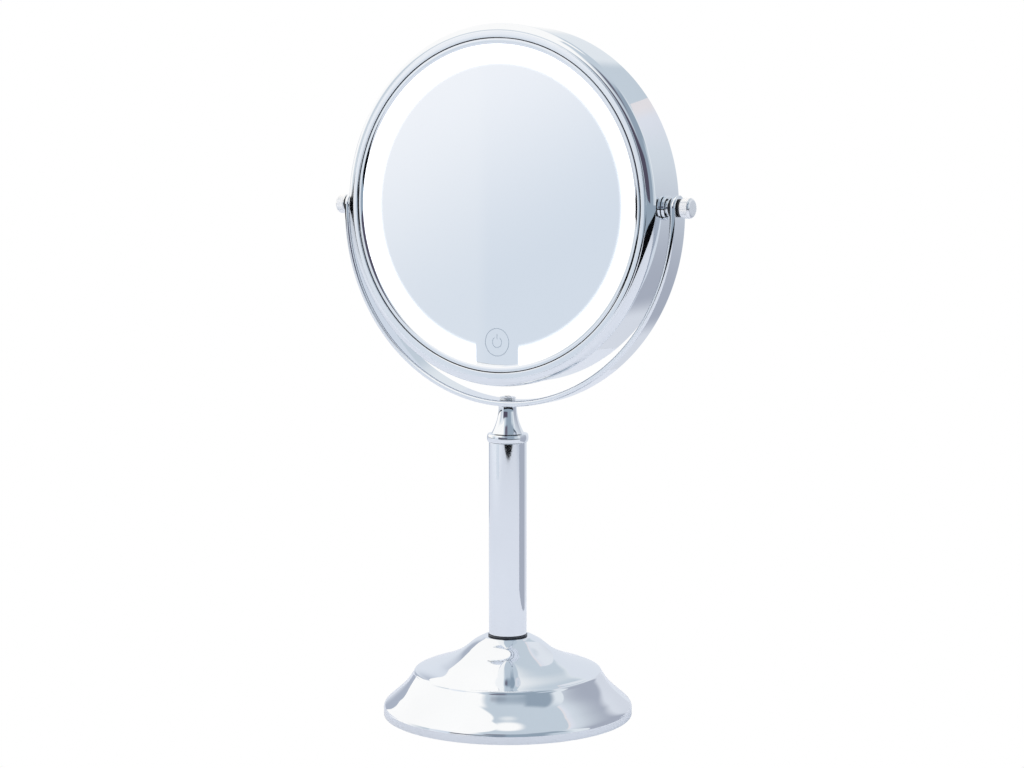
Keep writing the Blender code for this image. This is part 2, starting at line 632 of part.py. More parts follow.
def build_electronics(head):
    board_centre = (0.0, BOARD_CENTRE_Y, BOARD_CENTRE_Z)
    board = slab("control_board", BOARD_SIZE, board_centre, BOARD_GREEN, head, 1.5)
    chip = slab("tool_chip", (8.0, 1.4, 8.0), (0.0, BOARD_CENTRE_Y + 1.2, 24.0), None, head)
    combine(board, chip, "UNION")
    board_back = BOARD_CENTRE_Y + BOARD_SIZE[1] / 2.0
    head_front = board_back + GAP
    shank, head_radius, head_high = 0.85, 1.9, head_front + 1.1
    profile = [(0.0, -0.3), (shank, -0.3), (shank, head_front), (head_radius, head_front),
               (head_radius, head_front + 0.6), (head_radius - 0.7, head_high), (0.0, head_high)]
    for i, (side_name, side, _) in enumerate(SIDES):
        x = side * BOARD_SCREW_X
        drill(board, f"cut_{side_name}_board_hole", (x, BOARD_CENTRE_Y, BOARD_CENTRE_Z), 1.3, 8.0,
              TO_BACK, head)
        lathe(f"board_screw_{i + 1}", profile, ZINC, HOLE_SEGMENTS, (x, 0, BOARD_CENTRE_Z), TO_BACK,
              head)
    slab("battery_pack", CELL_SIZE, CELL_CENTRE, CELL_BLUE, head, 2.0)
    slab("charge_board", (16.0, 0.9, 8.0), (0.0, 0.1, -96.5), BOARD_GREEN, head)
    build_port(head)


def build_port(head):
    """The charging socket: a flat round-ended tube with its mouth down, through the drum's slot."""
    width, depth, height = PORT_SIZE
    wall, floor = 0.55, 2.3
    port = slab("charge_port", (width, height, depth), (0.0, PORT_Y, PORT_CENTRE_Z), ZINC, head,
                depth / 2.0 - 0.05, LYING)
    mouth_depth = depth - 2.0 * wall
    mouth = slab("cut_port_mouth", (width - 2.0 * wall, height, mouth_depth),
                 (0.0, PORT_Y, PORT_CENTRE_Z - floor), None, head, mouth_depth / 2.0 - 0.05, LYING)
    combine(port, mouth, "DIFFERENCE")


def build_leads(head):
    """Wires from board to board. Each runs straight into its board over the last few millimetres."""
    end_gap, turn_in = 0.5, 3.0
    board_y = BOARD_CENTRE_Y
    board_bottom = BOARD_CENTRE_Z - BOARD_SIZE[2] / 2.0
    board_side = BOARD_SIZE[0] / 2.0
    cell_top = CELL_CENTRE[2] + CELL_SIZE[2] / 2.0
    battery_x, led_z, low_z = 8.0, 26.0, 14.0
    cell_side_x, cell_low_z = CELL_SIZE[0] / 2.0 + 5.0, -58.0      # the way round the battery

    def into_board(side, z):
        return [(side * (board_side + turn_in), board_y, z), (side * (board_side + end_gap), board_y, z)]

    lead("battery_lead", [(battery_x, board_y, cell_top + end_gap),
                          (battery_x, board_y, board_bottom - end_gap)], LEAD_RADIUS, WIRE_RED, head)
    hole_x = -LED_RING_RADIUS
    lead("led_lead", [(hole_x, CARRIER_FRONT_Y + 0.2, 0.0), (hole_x + 0.6, LEAD_Y - 0.6, 0.4),
                      (hole_x + 5.0, LEAD_Y, 4.0), (-50.0, LEAD_Y, 20.0), *into_board(-1.0, led_z)],
         LEAD_RADIUS, WIRE_WHITE, head)
    hole_z = -TOUCH_HOLE_DROP
    lead("touch_lead", [(0.0, -6.8, -TOUCH_DROP + 4.0), (0.0, -5.0, hole_z - 3.0),
                        (0.0, -1.5, hole_z), (-3.0, LEAD_Y, hole_z), (-24.0, LEAD_Y, hole_z + 1.0),
                        (-cell_side_x, LEAD_Y, cell_low_z), (-cell_side_x, LEAD_Y, 2.0),
                        *into_board(-1.0, low_z)], LEAD_RADIUS, WIRE_BLACK, head)
    lead("charge_lead", [(0.0, PORT_Y, -94.6), (5.0, 1.6, -88.0), (26.0, LEAD_Y, -72.0),
                         (cell_side_x, LEAD_Y, cell_low_z), (cell_side_x, LEAD_Y, 2.0),
                         *into_board(1.0, low_z)], LEAD_RADIUS, WIRE_RED, head)


# Pivots


def build_pivot(side_name, head, knob_axis, rotation):
    """One side's boss, friction washer, stud, inner nut, outer washer and knurled knob."""
    clear = STUD_RADIUS + 0.3
    boss_low = DRUM_RADIUS + GAP
    boss_step = boss_low + 1.9
    boss_high = boss_step + 1.2
    boss_profile = [(clear, boss_low), (6.9, boss_low), (6.9, boss_step - 0.7),
                    (6.2, boss_step), (4.6, boss_step), (4.6, boss_high), (clear, boss_high)]
    lathe(f"{side_name}_boss", boss_profile, CHROME, SMALL_SEGMENTS, (0, 0, 0), rotation, head)
    yoke_inner = YOKE_RADIUS - YOKE_THICKNESS
    lathe(f"{side_name}_friction_washer", ring_profile(clear, 5.4, boss_high + GAP,
                                                       yoke_inner - GAP), BLACK_NYLON,
          SMALL_SEGMENTS, (0, 0, 0), rotation, head)
    nut_high = DRUM_RADIUS - DRUM_WALL - 0.6
    nut_bore = STUD_RADIUS + 0.1
    lathe(f"{side_name}_stud_nut", ring_profile(nut_bore, 3.5, nut_high - 2.6, nut_high), ZINC, 12,
          (0, 0, 0), rotation, head, hexagon(nut_bore))
    stud_low, stud_high = nut_high - 3.0, KNOB_END_X - 2.4
    lathe(f"{side_name}_stud", [(0.0, stud_low), (STUD_RADIUS, stud_low), (STUD_RADIUS, stud_high),
                                (0.0, stud_high)], ZINC, HOLE_SEGMENTS, (0, 0, 0), rotation, head)
    lathe(f"{side_name}_knob_washer", ring_profile(clear, 5.0, YOKE_RADIUS + GAP,
                                                   KNOB_START_X - GAP), BLACK_NYLON,
          SMALL_SEGMENTS, (0, 0, 0), rotation, knob_axis)

    def knurl(radius, angle):
        ridge = round(angle / (math.pi / KNURL_RIDGES)) % 2
        grooved = KNOB_RADIUS - 0.2 < radius
        return radius - KNURL_DEPTH * ridge if grooved else radius

    socket_end = stud_high + GAP
    knob_profile = [(0.0, socket_end), (clear, socket_end), (clear, KNOB_START_X),
                    (KNOB_RADIUS - 0.6, KNOB_START_X), (KNOB_RADIUS, KNOB_START_X + 0.5),
                    (KNOB_RADIUS, KNOB_END_X - 0.9), (KNOB_RADIUS - 1.1, KNOB_END_X - 0.15),
                    (0.0, KNOB_END_X)]
    lathe(f"{side_name}_knob", knob_profile, CHROME, 2 * KNURL_RIDGES, (0, 0, 0), rotation,
          knob_axis, knurl)


def main():
    clear_scene()
    pivot = empty("yoke_centre", (0, 0, PIVOT_Z))
    head = empty("head_axis", (0, 0, PIVOT_Z))
    build_base()
    build_column()
    build_neck()
    build_yoke(pivot)
    build_yoke_screw()
    build_drum(head)
    build_front_glass(head)
    build_rear_glass(head)
    build_carrier(head)
    build_light(head)
    build_electronics(head)
    build_leads(head)
    for side_name, _, rotation in SIDES:
        knob_axis = empty(f"{side_name}_knob_axis", (0, 0, 0))
        knob_axis.parent = head
        build_pivot(side_name, head, knob_axis, rotation)


main()
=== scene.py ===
"""Looks of the lighted vanity mirror: fine meshes, finishes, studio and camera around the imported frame.

Shapes are worked out in millimetres and placed in metres. A turned piece is a profile of (radius, station)
points about its own axis. The frame gives its outer radius and its two ends, so nothing is fitted by hand.
"""
import json
import math

import bmesh
import bpy
from mathutils import Matrix, Vector


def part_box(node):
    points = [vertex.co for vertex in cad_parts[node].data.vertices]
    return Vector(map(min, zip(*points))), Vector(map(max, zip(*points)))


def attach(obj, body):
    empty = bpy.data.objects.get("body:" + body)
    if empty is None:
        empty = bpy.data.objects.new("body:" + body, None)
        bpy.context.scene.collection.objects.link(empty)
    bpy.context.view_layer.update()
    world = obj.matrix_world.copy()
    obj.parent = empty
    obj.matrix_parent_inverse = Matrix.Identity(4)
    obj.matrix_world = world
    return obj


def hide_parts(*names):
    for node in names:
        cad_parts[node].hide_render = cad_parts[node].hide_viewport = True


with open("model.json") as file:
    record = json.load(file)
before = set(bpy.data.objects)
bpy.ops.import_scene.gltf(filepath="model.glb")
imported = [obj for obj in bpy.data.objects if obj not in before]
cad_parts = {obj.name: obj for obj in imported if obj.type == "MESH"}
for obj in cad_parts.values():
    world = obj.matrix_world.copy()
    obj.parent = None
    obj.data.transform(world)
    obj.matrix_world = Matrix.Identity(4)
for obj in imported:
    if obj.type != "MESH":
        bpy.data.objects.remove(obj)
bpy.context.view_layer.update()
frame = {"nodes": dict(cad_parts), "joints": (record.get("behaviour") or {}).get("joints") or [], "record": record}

MM = 0.001
TURN = 2.0 * math.pi
PIVOT = Vector(next(j["pos_m"] for j in frame["joints"] if j["name"] == "head_tilt"))

UPRIGHT = Matrix.Identity(4)
TO_BACK = Matrix.Translation(PIVOT) @ Matrix.Rotation(math.radians(-90.0), 4, "X")
TO_SIDE = {"left": Matrix.Translation(PIVOT) @ Matrix.Rotation(math.radians(-90.0), 4, "Y"),
           "right": Matrix.Translation(PIVOT) @ Matrix.Rotation(math.radians(90.0), 4, "Y")}

FINE_SEGMENTS = 256        # head and base
MEDIUM_SEGMENTS = 128      # column, collar and neck
SMALL_SEGMENTS = 64        # screws, washers and bosses
SHARP_ANGLE = math.radians(32.0)

# Lit window on the front glass, in millimetres from the tilt axis
WINDOW_CLEAR = 79.8        # silvered inside this
WINDOW_FULL = 85.0         # fully frosted outside this
TAB_HALF_WIDTH = 14.7
TAB_SOFTNESS = 0.7
TOUCH_DROP = 78.4
TOUCH_RADIUS = 8.2

# Narrow groove between the bezel's two beads, with a black ring of painted shade in it, in millimetres
SEAM_RADIUS = 95.55
SEAM_HALF_WIDTH = 0.3
SEAM_FRONT = -15.5
SEAM_DEPTH = 0.8


# Shape helpers


def extent(node, matrix):
    """A CAD node's outer radius about an axis and its ends along it, in millimetres."""
    inverse = matrix.inverted()
    points = [inverse @ v.co / MM for v in frame["nodes"][node].data.vertices]
    stations = [p.z for p in points]
    return max(math.hypot(p.x, p.y) for p in points), min(stations), max(stations)


def bore(node, matrix):
    """A CAD node's smallest radius about an axis, in millimetres."""
    inverse = matrix.inverted()
    return min(math.hypot(*(inverse @ v.co / MM).xy) for v in frame["nodes"][node].data.vertices)


def turn_about(centre, start, end, steps):
    """Points from start to end, both included, the shorter way round a circle about centre."""
    (cx, cy), (x0, y0), (x1, y1) = centre, start, end
    radius = math.hypot(x0 - cx, y0 - cy)
    first = math.atan2(y0 - cy, x0 - cx)
    sweep = (math.atan2(y1 - cy, x1 - cx) - first + math.pi) % TURN - math.pi
    angles = [first + sweep * k / steps for k in range(steps + 1)]
    return [(cx + radius * math.cos(a), cy + radius * math.sin(a)) for a in angles]


def rounded(corners, steps=4):
    """A line through (radius, station, rounding) corners, with a circular fillet at each."""
    points = []
    for i, (radius, station, size) in enumerate(corners):
        here = Vector((radius, station))
        if size == 0.0:
            points.append((radius, station))
            continue
        before = (Vector(corners[i - 1][:2]) - here).normalized()
        after = (Vector(corners[(i + 1) % len(corners)][:2]) - here).normalized()
        half_turn = before.angle(after) / 2.0
        reach = size / math.tan(half_turn)
        centre = here + (before + after).normalized() * size / math.sin(half_turn)
        points += turn_about(centre, here + before * reach, here + after * reach, steps)
    return points


def ring_section(inner, outer, low, high, rounding):
    return rounded([(inner, low, rounding), (outer, low, rounding),
                    (outer, high, rounding), (inner, high, rounding)])


def arc(start, end, bulge, steps=12):
    """Points after start up to end on a circular arc that stands bulge to the left of the chord."""
    a, b = Vector(start), Vector(end)
    chord = (b - a).length
    left = Vector((a.y - b.y, b.x - a.x)) / chord * math.copysign(1.0, bulge)
    radius = (chord * chord / 4.0 + bulge * bulge) / (2.0 * abs(bulge))
    centre = (a + b) / 2.0 + left * (abs(bulge) - radius)
    return turn_about(centre, start, end, steps)[1:]


def smooth_path(stations, steps):
    """A Catmull-Rom curve through the stations, with the given steps between each two."""
    points = [Vector(s) for s in stations]
    guides = [2.0 * points[0] - points[1], *points, 2.0 * points[-1] - points[-2]]
    path = []
    for p0, p1, p2, p3 in zip(guides, guides[1:], guides[2:], guides[3:]):
        for k in range(steps):
            t = k / steps
            path.append(tuple(0.5 * (2.0 * p1 + (p2 - p0) * t
                                     + (2.0 * p0 - 5.0 * p1 + 4.0 * p2 - p3) * t * t
                                     + (3.0 * p1 - p0 - 3.0 * p2 + p3) * t ** 3)))
    return path + [tuple(points[-1])]


def inset(line, distance):
    """The same open line moved sideways by distance, to the right of its own direction."""
    moved = []
    for i, point in enumerate(line):
        run = Vector(line[min(i + 1, len(line) - 1)]) - Vector(line[max(i - 1, 0)])
        run.normalize()
        moved.append((point[0] + run.y * distance, point[1] - run.x * distance))
    return moved


# Mesh helpers


def finish_mesh(name, bm, matrix, sharp_angle=SHARP_ANGLE):
    bmesh.ops.recalc_face_normals(bm, faces=bm.faces)
    bmesh.ops.transform(bm, matrix=matrix @ Matrix.Scale(MM, 4), verts=bm.verts)
    mesh = bpy.data.meshes.new(name)
    bm.to_mesh(mesh)
    bm.free()
    mesh.shade_smooth()
    mesh.set_sharp_from_angle(angle=sharp_angle)
    return mesh


def new_object(name, mesh):
    obj = bpy.data.objects.new(name, mesh)
    bpy.context.scene.collection.objects.link(obj)
    return obj


def turned(name, profile, matrix, segments=SMALL_SEGMENTS, outline=None):
    """A solid turned from a profile. One that starts and ends on the axis is closed there.

    outline(radius, angle) may change a radius around the turn, for a knurl.
    """
    bm = bmesh.new()
    on_axis = profile[0][0] == 0.0
    flat_start = on_axis and profile[0][1] == profile[1][1]
    flat_end = on_axis and profile[-1][1] == profile[-2][1]
    rings = []
    for radius, station in profile[int(flat_start):len(profile) - int(flat_end)]:
        if radius == 0.0:
            rings.append([bm.verts.new((0.0, 0.0, station))])
            continue
        ring = []
        for i in range(segments):
            angle = TURN * (i + 0.5) / segments
            r = outline(radius, angle) if outline else radius
            ring.append(bm.verts.new((r * math.cos(angle), r * math.sin(angle), station)))
        rings.append(ring)
    for lower, upper in zip(rings, rings[1:] if on_axis else rings[1:] + rings[:1]):
        for i in range(segments):
            j = (i + 1) % segments
            corners = [lower[i % len(lower)], lower[j % len(lower)],
                       upper[j % len(upper)], upper[i % len(upper)]]
            bm.faces.new(list(dict.fromkeys(corners)))
    if flat_start:
        bm.faces.new(rings[0])
    if flat_end:
        bm.faces.new(rings[-1])
    return new_object(name, finish_mesh(name, bm, matrix))


def plain_ring(name, node, matrix, rounding, segments=SMALL_SEGMENTS):
    """A ring of a CAD node's bore, radius and ends, with rounded edges."""
    return turned(name, ring_section(bore(node, matrix), *extent(node, matrix), rounding), matrix,
                  segments)


def drill(name, radius, low, high, matrix):
    """A round cutter."""
    return turned(name, [(0.0, low), (radius, low), (radius, high), (0.0, high)], matrix)


def prism(name, outline, low, high, matrix):
    """A straight solid with the given (x, y) outline between two stations along its own Z."""
    bm = bmesh.new()
    bottom = [bm.verts.new((x, y, low)) for x, y in outline]
    top = [bm.verts.new((x, y, high)) for x, y in outline]
    bm.faces.new(bottom)
    bm.faces.new(top)
    for i in range(len(outline)):
        j = (i + 1) % len(outline)
        bm.faces.new((bottom[i], bottom[j], top[j], top[i]))
    return new_object(name, finish_mesh(name, bm, matrix))


def stadium(width, depth, corner, centre=(0.0, 0.0), steps=8):
    """A rectangle with rounded corners, as (x, y) points."""
    points = []
    for quarter, (sx, sy) in enumerate(((1, 1), (-1, 1), (-1, -1), (1, -1))):
        cx, cy = sx * (width / 2.0 - corner), sy * (depth / 2.0 - corner)
        for k in range(steps + 1):
            angle = math.pi / 2.0 * (quarter + k / steps)
            points.append((centre[0] + cx + corner * math.cos(angle),
                           centre[1] + cy + corner * math.sin(angle)))
    return points


def cut(target, *tools):
    """Cuts the tools out of the target's own mesh, then removes them."""
    for tool in tools:
        modifier = target.modifiers.new(tool.name, "BOOLEAN")
        modifier.operation = "DIFFERENCE"
        modifier.solver = "EXACT"
        modifier.object = tool
    evaluated = target.evaluated_get(bpy.context.evaluated_depsgraph_get())
    mesh = bpy.data.meshes.new_from_object(evaluated)
    target.modifiers.clear()
    target.data = mesh
    mesh.shade_smooth()
    mesh.set_sharp_from_angle(angle=SHARP_ANGLE)
    for tool in tools:
        bpy.data.objects.remove(tool, do_unlink=True)
    return target


def even_shading(obj):
    """Lets large faces decide the shading, so a flat face stays flat beside a small fillet."""
    modifier = obj.modifiers.new("even_shading", "WEIGHTED_NORMAL")
    modifier.mode = "FACE_AREA"
    modifier.keep_sharp = True


def place(obj, body, slot, material, *nodes):
    """Gives a piece its material, its body and the CAD nodes that it stands for."""
    obj.data.materials.clear()
    obj.data.materials.append(material)
    if nodes:
        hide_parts(*nodes)
    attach(obj, body)
    return obj


# Material helpers


def add(tree, kind, inputs=None, **settings):
    """A shader node with its settings, and each named input set to a value or linked to a socket."""
    node = tree.nodes.new(kind)
    for name, value in settings.items():
        setattr(node, name, value)
    for name, value in (inputs or {}).items():
        if isinstance(value, bpy.types.NodeSocket):
            tree.links.new(value, node.inputs[name])
        else:
            node.inputs[name].default_value = value
    return node


def maths(tree, operation, *values):
    node = tree.nodes.new("ShaderNodeMath")
    node.operation = operation
    for socket, value in zip(node.inputs, values):
        if isinstance(value, bpy.types.NodeSocket):
            tree.links.new(value, socket)
        else:
            socket.default_value = value
    return node.outputs[0]


def new_material(name):
    material = bpy.data.materials.new(name)
    material.use_nodes = True
    tree = material.node_tree
    tree.nodes.clear()
    return material, tree


def object_place(tree, scale=(1.0, 1.0, 1.0)):
    """Positions on the piece in metres, stretched by scale."""
    coordinates = add(tree, "ShaderNodeTexCoord").outputs["Object"]
    return add(tree, "ShaderNodeMapping", {"Vector": coordinates, "Scale": scale}).outputs[0]


def noise(tree, vector, scale, detail=3.0, roughness=0.5):
    return add(tree, "ShaderNodeTexNoise", {"Vector": vector, "Scale": scale, "Detail": detail,
                                            "Roughness": roughness}).outputs["Fac"]


def spread(tree, value, low, high, from_low=0.3, from_high=0.7):
    """Stretches a value in from_low..from_high to low..high, held at the ends."""
    return add(tree, "ShaderNodeMapRange", {"Value": value, "From Min": from_low,
                                            "From Max": from_high, "To Min": low,
                                            "To Max": high}).outputs["Result"]


def blend_colours(tree, factor, first, second):
    node = add(tree, "ShaderNodeMix", {"Factor": factor}, data_type="RGBA")
    for socket, value in ((node.inputs["A"], first), (node.inputs["B"], second)):
        colour_socket = next(s for s in node.inputs if s.name == socket.name and s.type == "RGBA")
        if isinstance(value, bpy.types.NodeSocket):
            tree.links.new(value, colour_socket)
        else:
            colour_socket.default_value = (*value, 1.0)
    return next(s for s in node.outputs if s.type == "RGBA")


def bump(tree, height, distance, normal=None):
    inputs = {"Height": height, "Distance": distance, "Strength": 1.0}
    if normal is not None:
        inputs["Normal"] = normal
    return add(tree, "ShaderNodeBump", inputs).outputs["Normal"]


def output(tree, shader):
    add(tree, "ShaderNodeOutputMaterial", {"Surface": shader})


# Materials


def chrome_material(name="chrome", tint=(0.90, 0.925, 0.95), haze=0.035):
    """Bright plating: a faint cloudy haze, hairline polishing marks and a very slight ripple."""
    material, tree = new_material(name)
    here = object_place(tree)
    cloud = noise(tree, here, 28.0)
    speck = noise(tree, here, 900.0, 2.0)
    hairline = noise(tree, object_place(tree, (160.0, 160.0, 2600.0)), 1.0, 2.0)
    roughness = maths(tree, "ADD", spread(tree, cloud, haze * 0.6, haze * 1.5),
                      spread(tree, hairline, 0.0, haze * 0.7, 0.62, 0.74))
    darker = tuple(c * 0.975 for c in tint)
    colour = blend_colours(tree, spread(tree, cloud, 0.0, 1.0), darker, tint)
    normal = bump(tree, cloud, 0.00001)
    normal = bump(tree, speck, 0.0000002, normal)
    shader = add(tree, "ShaderNodeBsdfPrincipled", {"Base Color": colour, "Metallic": 1.0,
                                                    "Roughness": roughness, "Normal": normal})
    output(tree, shader.outputs[0])
    return material


def steel_material(name="zinc_steel", colour=(0.60, 0.62, 0.64)):
    """Satin zinc: fine grain and cloudy passivation with a trace of yellow."""
    material, tree = new_material(name)
    here = object_place(tree)
    cloud = noise(tree, here, 120.0, 4.0)
    grain = noise(tree, here, 5200.0, 2.0)
    warm = (colour[0], colour[1] * 0.97, colour[2] * 0.88)
    shade = blend_colours(tree, spread(tree, cloud, 0.0, 1.0), colour, warm)
    shader = add(tree, "ShaderNodeBsdfPrincipled", {
        "Base Color": shade, "Metallic": 1.0, "Roughness": spread(tree, cloud, 0.24, 0.42),
        "Normal": bump(tree, grain, 0.000004)})
    output(tree, shader.outputs[0])
    return material


def plastic_material(name, colour, roughness=0.45, grain_size=0.0006, grain_height=0.000006,
                     sheen=0.0):
    """Moulded plastic: spark-eroded grain, slight shade drift and duller patches."""
    material, tree = new_material(name)
    here = object_place(tree)
    cloud = noise(tree, here, 60.0)
    grain = noise(tree, here, 1.0 / grain_size, 3.0)
    shade = blend_colours(tree, spread(tree, cloud, 0.0, 1.0), colour,
                          tuple(c * 0.9 for c in colour))
    shader = add(tree, "ShaderNodeBsdfPrincipled", {
        "Base Color": shade, "Roughness": spread(tree, cloud, roughness * 0.85, roughness * 1.2),
        "Sheen Weight": sheen, "Normal": bump(tree, grain, grain_height)})
    output(tree, shader.outputs[0])
    return material


def cast_iron_material():
    """Sand-cast iron under thin dark paint: coarse skin with pits and paler worn spots."""
    material, tree = new_material("cast_iron_weight")
    here = object_place(tree)
    skin = noise(tree, here, 900.0, 5.0, 0.65)
    wear = noise(tree, here, 140.0, 3.0)
    shade = blend_colours(tree, spread(tree, wear, 0.0, 1.0, 0.58, 0.7), (0.045, 0.045, 0.05),
                          (0.20, 0.19, 0.18))
    shader = add(tree, "ShaderNodeBsdfPrincipled", {
        "Base Color": shade, "Metallic": 0.5, "Roughness": spread(tree, skin, 0.55, 0.85),
        "Normal": bump(tree, skin, 0.00012)})
    output(tree, shader.outputs[0])
    return material


def board_material(name, mask_colour, track_colour):
    """Circuit board: solder mask with slightly paler copper tracks under it."""
    material, tree = new_material(name)
    here = object_place(tree)
    tracks = add(tree, "ShaderNodeTexBrick", {"Vector": object_place(tree, (1.0, 0.0, 1.0)),
                                              "Scale": 420.0, "Mortar Size": 0.03})
    shade = blend_colours(tree, tracks.outputs["Fac"], mask_colour, track_colour)
    grain = noise(tree, here, 2400.0, 2.0)
    shader = add(tree, "ShaderNodeBsdfPrincipled", {
        "Base Color": shade, "Roughness": spread(tree, grain, 0.28, 0.42), "Coat Weight": 0.3,
        "Normal": bump(tree, tracks.outputs["Fac"], 0.00002)})
    output(tree, shader.outputs[0])
    return material


def diffuser_material():
    """Opal sheet lit from behind, its glow a touch uneven in soft clouds."""
    material, tree = new_material("lit_diffuser")
    cloud = noise(tree, object_place(tree), 90.0)
    shader = add(tree, "ShaderNodeBsdfPrincipled", {
        "Base Color": (0.96, 0.96, 0.96, 1.0), "Roughness": 0.5,
        "Emission Color": (0.97, 0.985, 1.0, 1.0),
        "Emission Strength": spread(tree, cloud, 1.2, 1.35)})
    output(tree, shader.outputs[0])
    return material


def silver_shader(tree, colour, roughness):
    """Silvered glass: the coating's reflection under a clear, slightly blue glass face."""
    here = object_place(tree)
    smear = noise(tree, object_place(tree, (14.0, 14.0, 5.0)), 1.0, 3.0)
    wave = noise(tree, here, 9.0, 1.0)
    haze = spread(tree, smear, roughness * 0.5, roughness * 1.6)
    return add(tree, "ShaderNodeBsdfPrincipled", {
        "Base Color": (*colour, 1.0), "Metallic": 1.0, "Roughness": haze, "Coat Weight": 0.25,
        "Coat Roughness": 0.01, "Normal": bump(tree, wave, 0.00001)}).outputs[0]


def radial_parts(tree):
    """x, height above the tilt axis and distance from it on the front glass, in millimetres."""
    coordinates = add(tree, "ShaderNodeTexCoord").outputs["Object"]
    centred = add(tree, "ShaderNodeVectorMath", {0: coordinates, 1: tuple(PIVOT)},
                  operation="SUBTRACT").outputs[0]
    parts = add(tree, "ShaderNodeSeparateXYZ", {0: centred})
    x = maths(tree, "DIVIDE", parts.outputs[0], MM)
    z = maths(tree, "DIVIDE", parts.outputs[2], MM)
    square = maths(tree, "ADD", maths(tree, "MULTIPLY", x, x), maths(tree, "MULTIPLY", z, z))
    return x, z, maths(tree, "SQRT", square)


def soft_step(tree, value, start, end):
    return add(tree, "ShaderNodeMapRange", {"Value": value, "From Min": start, "From Max": end},
               interpolation_type="SMOOTHSTEP").outputs["Result"]


def front_mirror_material():
    """The lit glass: a silvered centre, a frosted window that glows, and a silvered touch tab."""
    material, tree = new_material("front_mirror_glass")
    x, z, radius = radial_parts(tree)
    window = soft_step(tree, radius, WINDOW_CLEAR, WINDOW_FULL)
    beside_tab = soft_step(tree, maths(tree, "ABSOLUTE", x), TAB_HALF_WIDTH - TAB_SOFTNESS,
                           TAB_HALF_WIDTH + 0.3)
    above = soft_step(tree, z, -1.0, 1.0)
    lit = maths(tree, "MULTIPLY", window, maths(tree, "MAXIMUM", beside_tab, above))
    silver = silver_shader(tree, (0.93, 0.95, 0.97), 0.012)
    frost = noise(tree, object_place(tree), 3000.0, 2.0)
    glow = add(tree, "ShaderNodeBsdfPrincipled", {
        "Base Color": (0.95, 0.96, 0.97, 1.0), "Roughness": 0.55,
        "Normal": bump(tree, frost, 0.000004), "Emission Color": (0.985, 0.992, 1.0, 1.0),
        "Emission Strength": 1.15}).outputs[0]
    mixed = add(tree, "ShaderNodeMixShader", {0: lit, 1: silver, 2: glow}).outputs[0]
    output(tree, mixed)
    return material


def rear_mirror_material():
    material, tree = new_material("rear_mirror_glass")
    output(tree, silver_shader(tree, (0.92, 0.945, 0.96), 0.015))
    return material


def ink_material():
    """The touch mark: thin satin grey ink on the back of the glass."""
    material, tree = new_material("touch_ink")
    grain = noise(tree, object_place(tree), 4000.0, 2.0)
    shader = add(tree, "ShaderNodeBsdfPrincipled", {
        "Base Color": (0.56, 0.64, 0.72, 1.0), "Roughness": spread(tree, grain, 0.35, 0.5),
        "Normal": bump(tree, grain, 0.000002)})
    output(tree, shader.outputs[0])
    return material


def lead_material(name, colour):
    """Soft PVC insulation: satin with a faint grain."""
    return plastic_material(name, colour, 0.38, 0.0011, 0.000008)


def make_materials():
    return {
        "chrome": chrome_material(),
        "satin_chrome": chrome_material("satin_chrome", (0.95, 0.955, 0.96), 0.16),
        "zinc_steel": steel_material(),
        "front_glass": front_mirror_material(),
        "rear_glass": rear_mirror_material(),
        "lit_diffuser": diffuser_material(),
        "led_board_white": board_material("led_board_white", (0.86, 0.87, 0.86),
                                          (0.72, 0.74, 0.74)),
        "green_board": board_material("green_board", (0.02, 0.16, 0.07), (0.05, 0.28, 0.12)),
        "cast_iron_weight": cast_iron_material(),
        "base_pad_rubber": plastic_material("base_pad_rubber", (0.05, 0.05, 0.055), 0.8, 0.0009,
                                            0.00005, 0.3),
        "black_rubber": plastic_material("black_rubber", (0.03, 0.03, 0.032), 0.75, 0.0007,
                                         0.00003, 0.2),
        "black_nylon": plastic_material("black_nylon", (0.018, 0.018, 0.02), 0.38),
        "grey_nylon": plastic_material("grey_nylon", (0.06, 0.065, 0.08), 0.25),
        "white_plastic": plastic_material("white_plastic", (0.84, 0.84, 0.83), 0.5),
        "copper_pad": steel_material("copper_pad", (0.80, 0.44, 0.26)),
        "battery_wrap": plastic_material("battery_wrap", (0.07, 0.20, 0.50), 0.3, 0.004,
                                         0.00003),
        "red_lead": lead_material("red_lead", (0.55, 0.03, 0.03)),
        "white_lead": lead_material("white_lead", (0.80, 0.80, 0.79)),
        "black_lead": lead_material("black_lead", (0.02, 0.02, 0.02)),
        "touch_ink": ink_material(),
    }


# Base


def base_outline(radius, low, high):
    """The bell's outer line from the top rim down: sweep, shoulder edge, cove and upright lip."""
    sweep = [(14.4, high - 0.1), (20.0, 43.8), (29.0, 37.0), (40.5, 31.7), (50.0, 28.5),
             (54.2, 26.8)]
    cove = [(55.6, 25.2), (60.5, 18.2), (66.5, 12.4), (72.2, 7.4), (radius, 5.2)]
    edge = arc(sweep[-1], cove[0], 0.35, 6)
    return smooth_path(sweep, 14) + edge[:-1] + smooth_path(cove, 14) + [(radius, low)]


def build_base(m):
    radius, low, high = extent("base_shell", UPRIGHT)
    wall = 1.2
    outer = base_outline(radius, low, high)
    inner = inset(outer, wall)
    inner = [(r, max(z, low)) for r, z in inner if r < radius - wall + 0.01]
    hole = bore("base_shell", UPRIGHT)
    profile = ([(hole, high), (13.4, high)] + outer + [(radius - wall, low)] + inner[::-1]
               + [(hole, high - wall)])
    shell = turned("chrome_base", profile, UPRIGHT, FINE_SEGMENTS)
    even_shading(shell)
    place(shell, "stand", "chrome", m["chrome"], "base_shell")


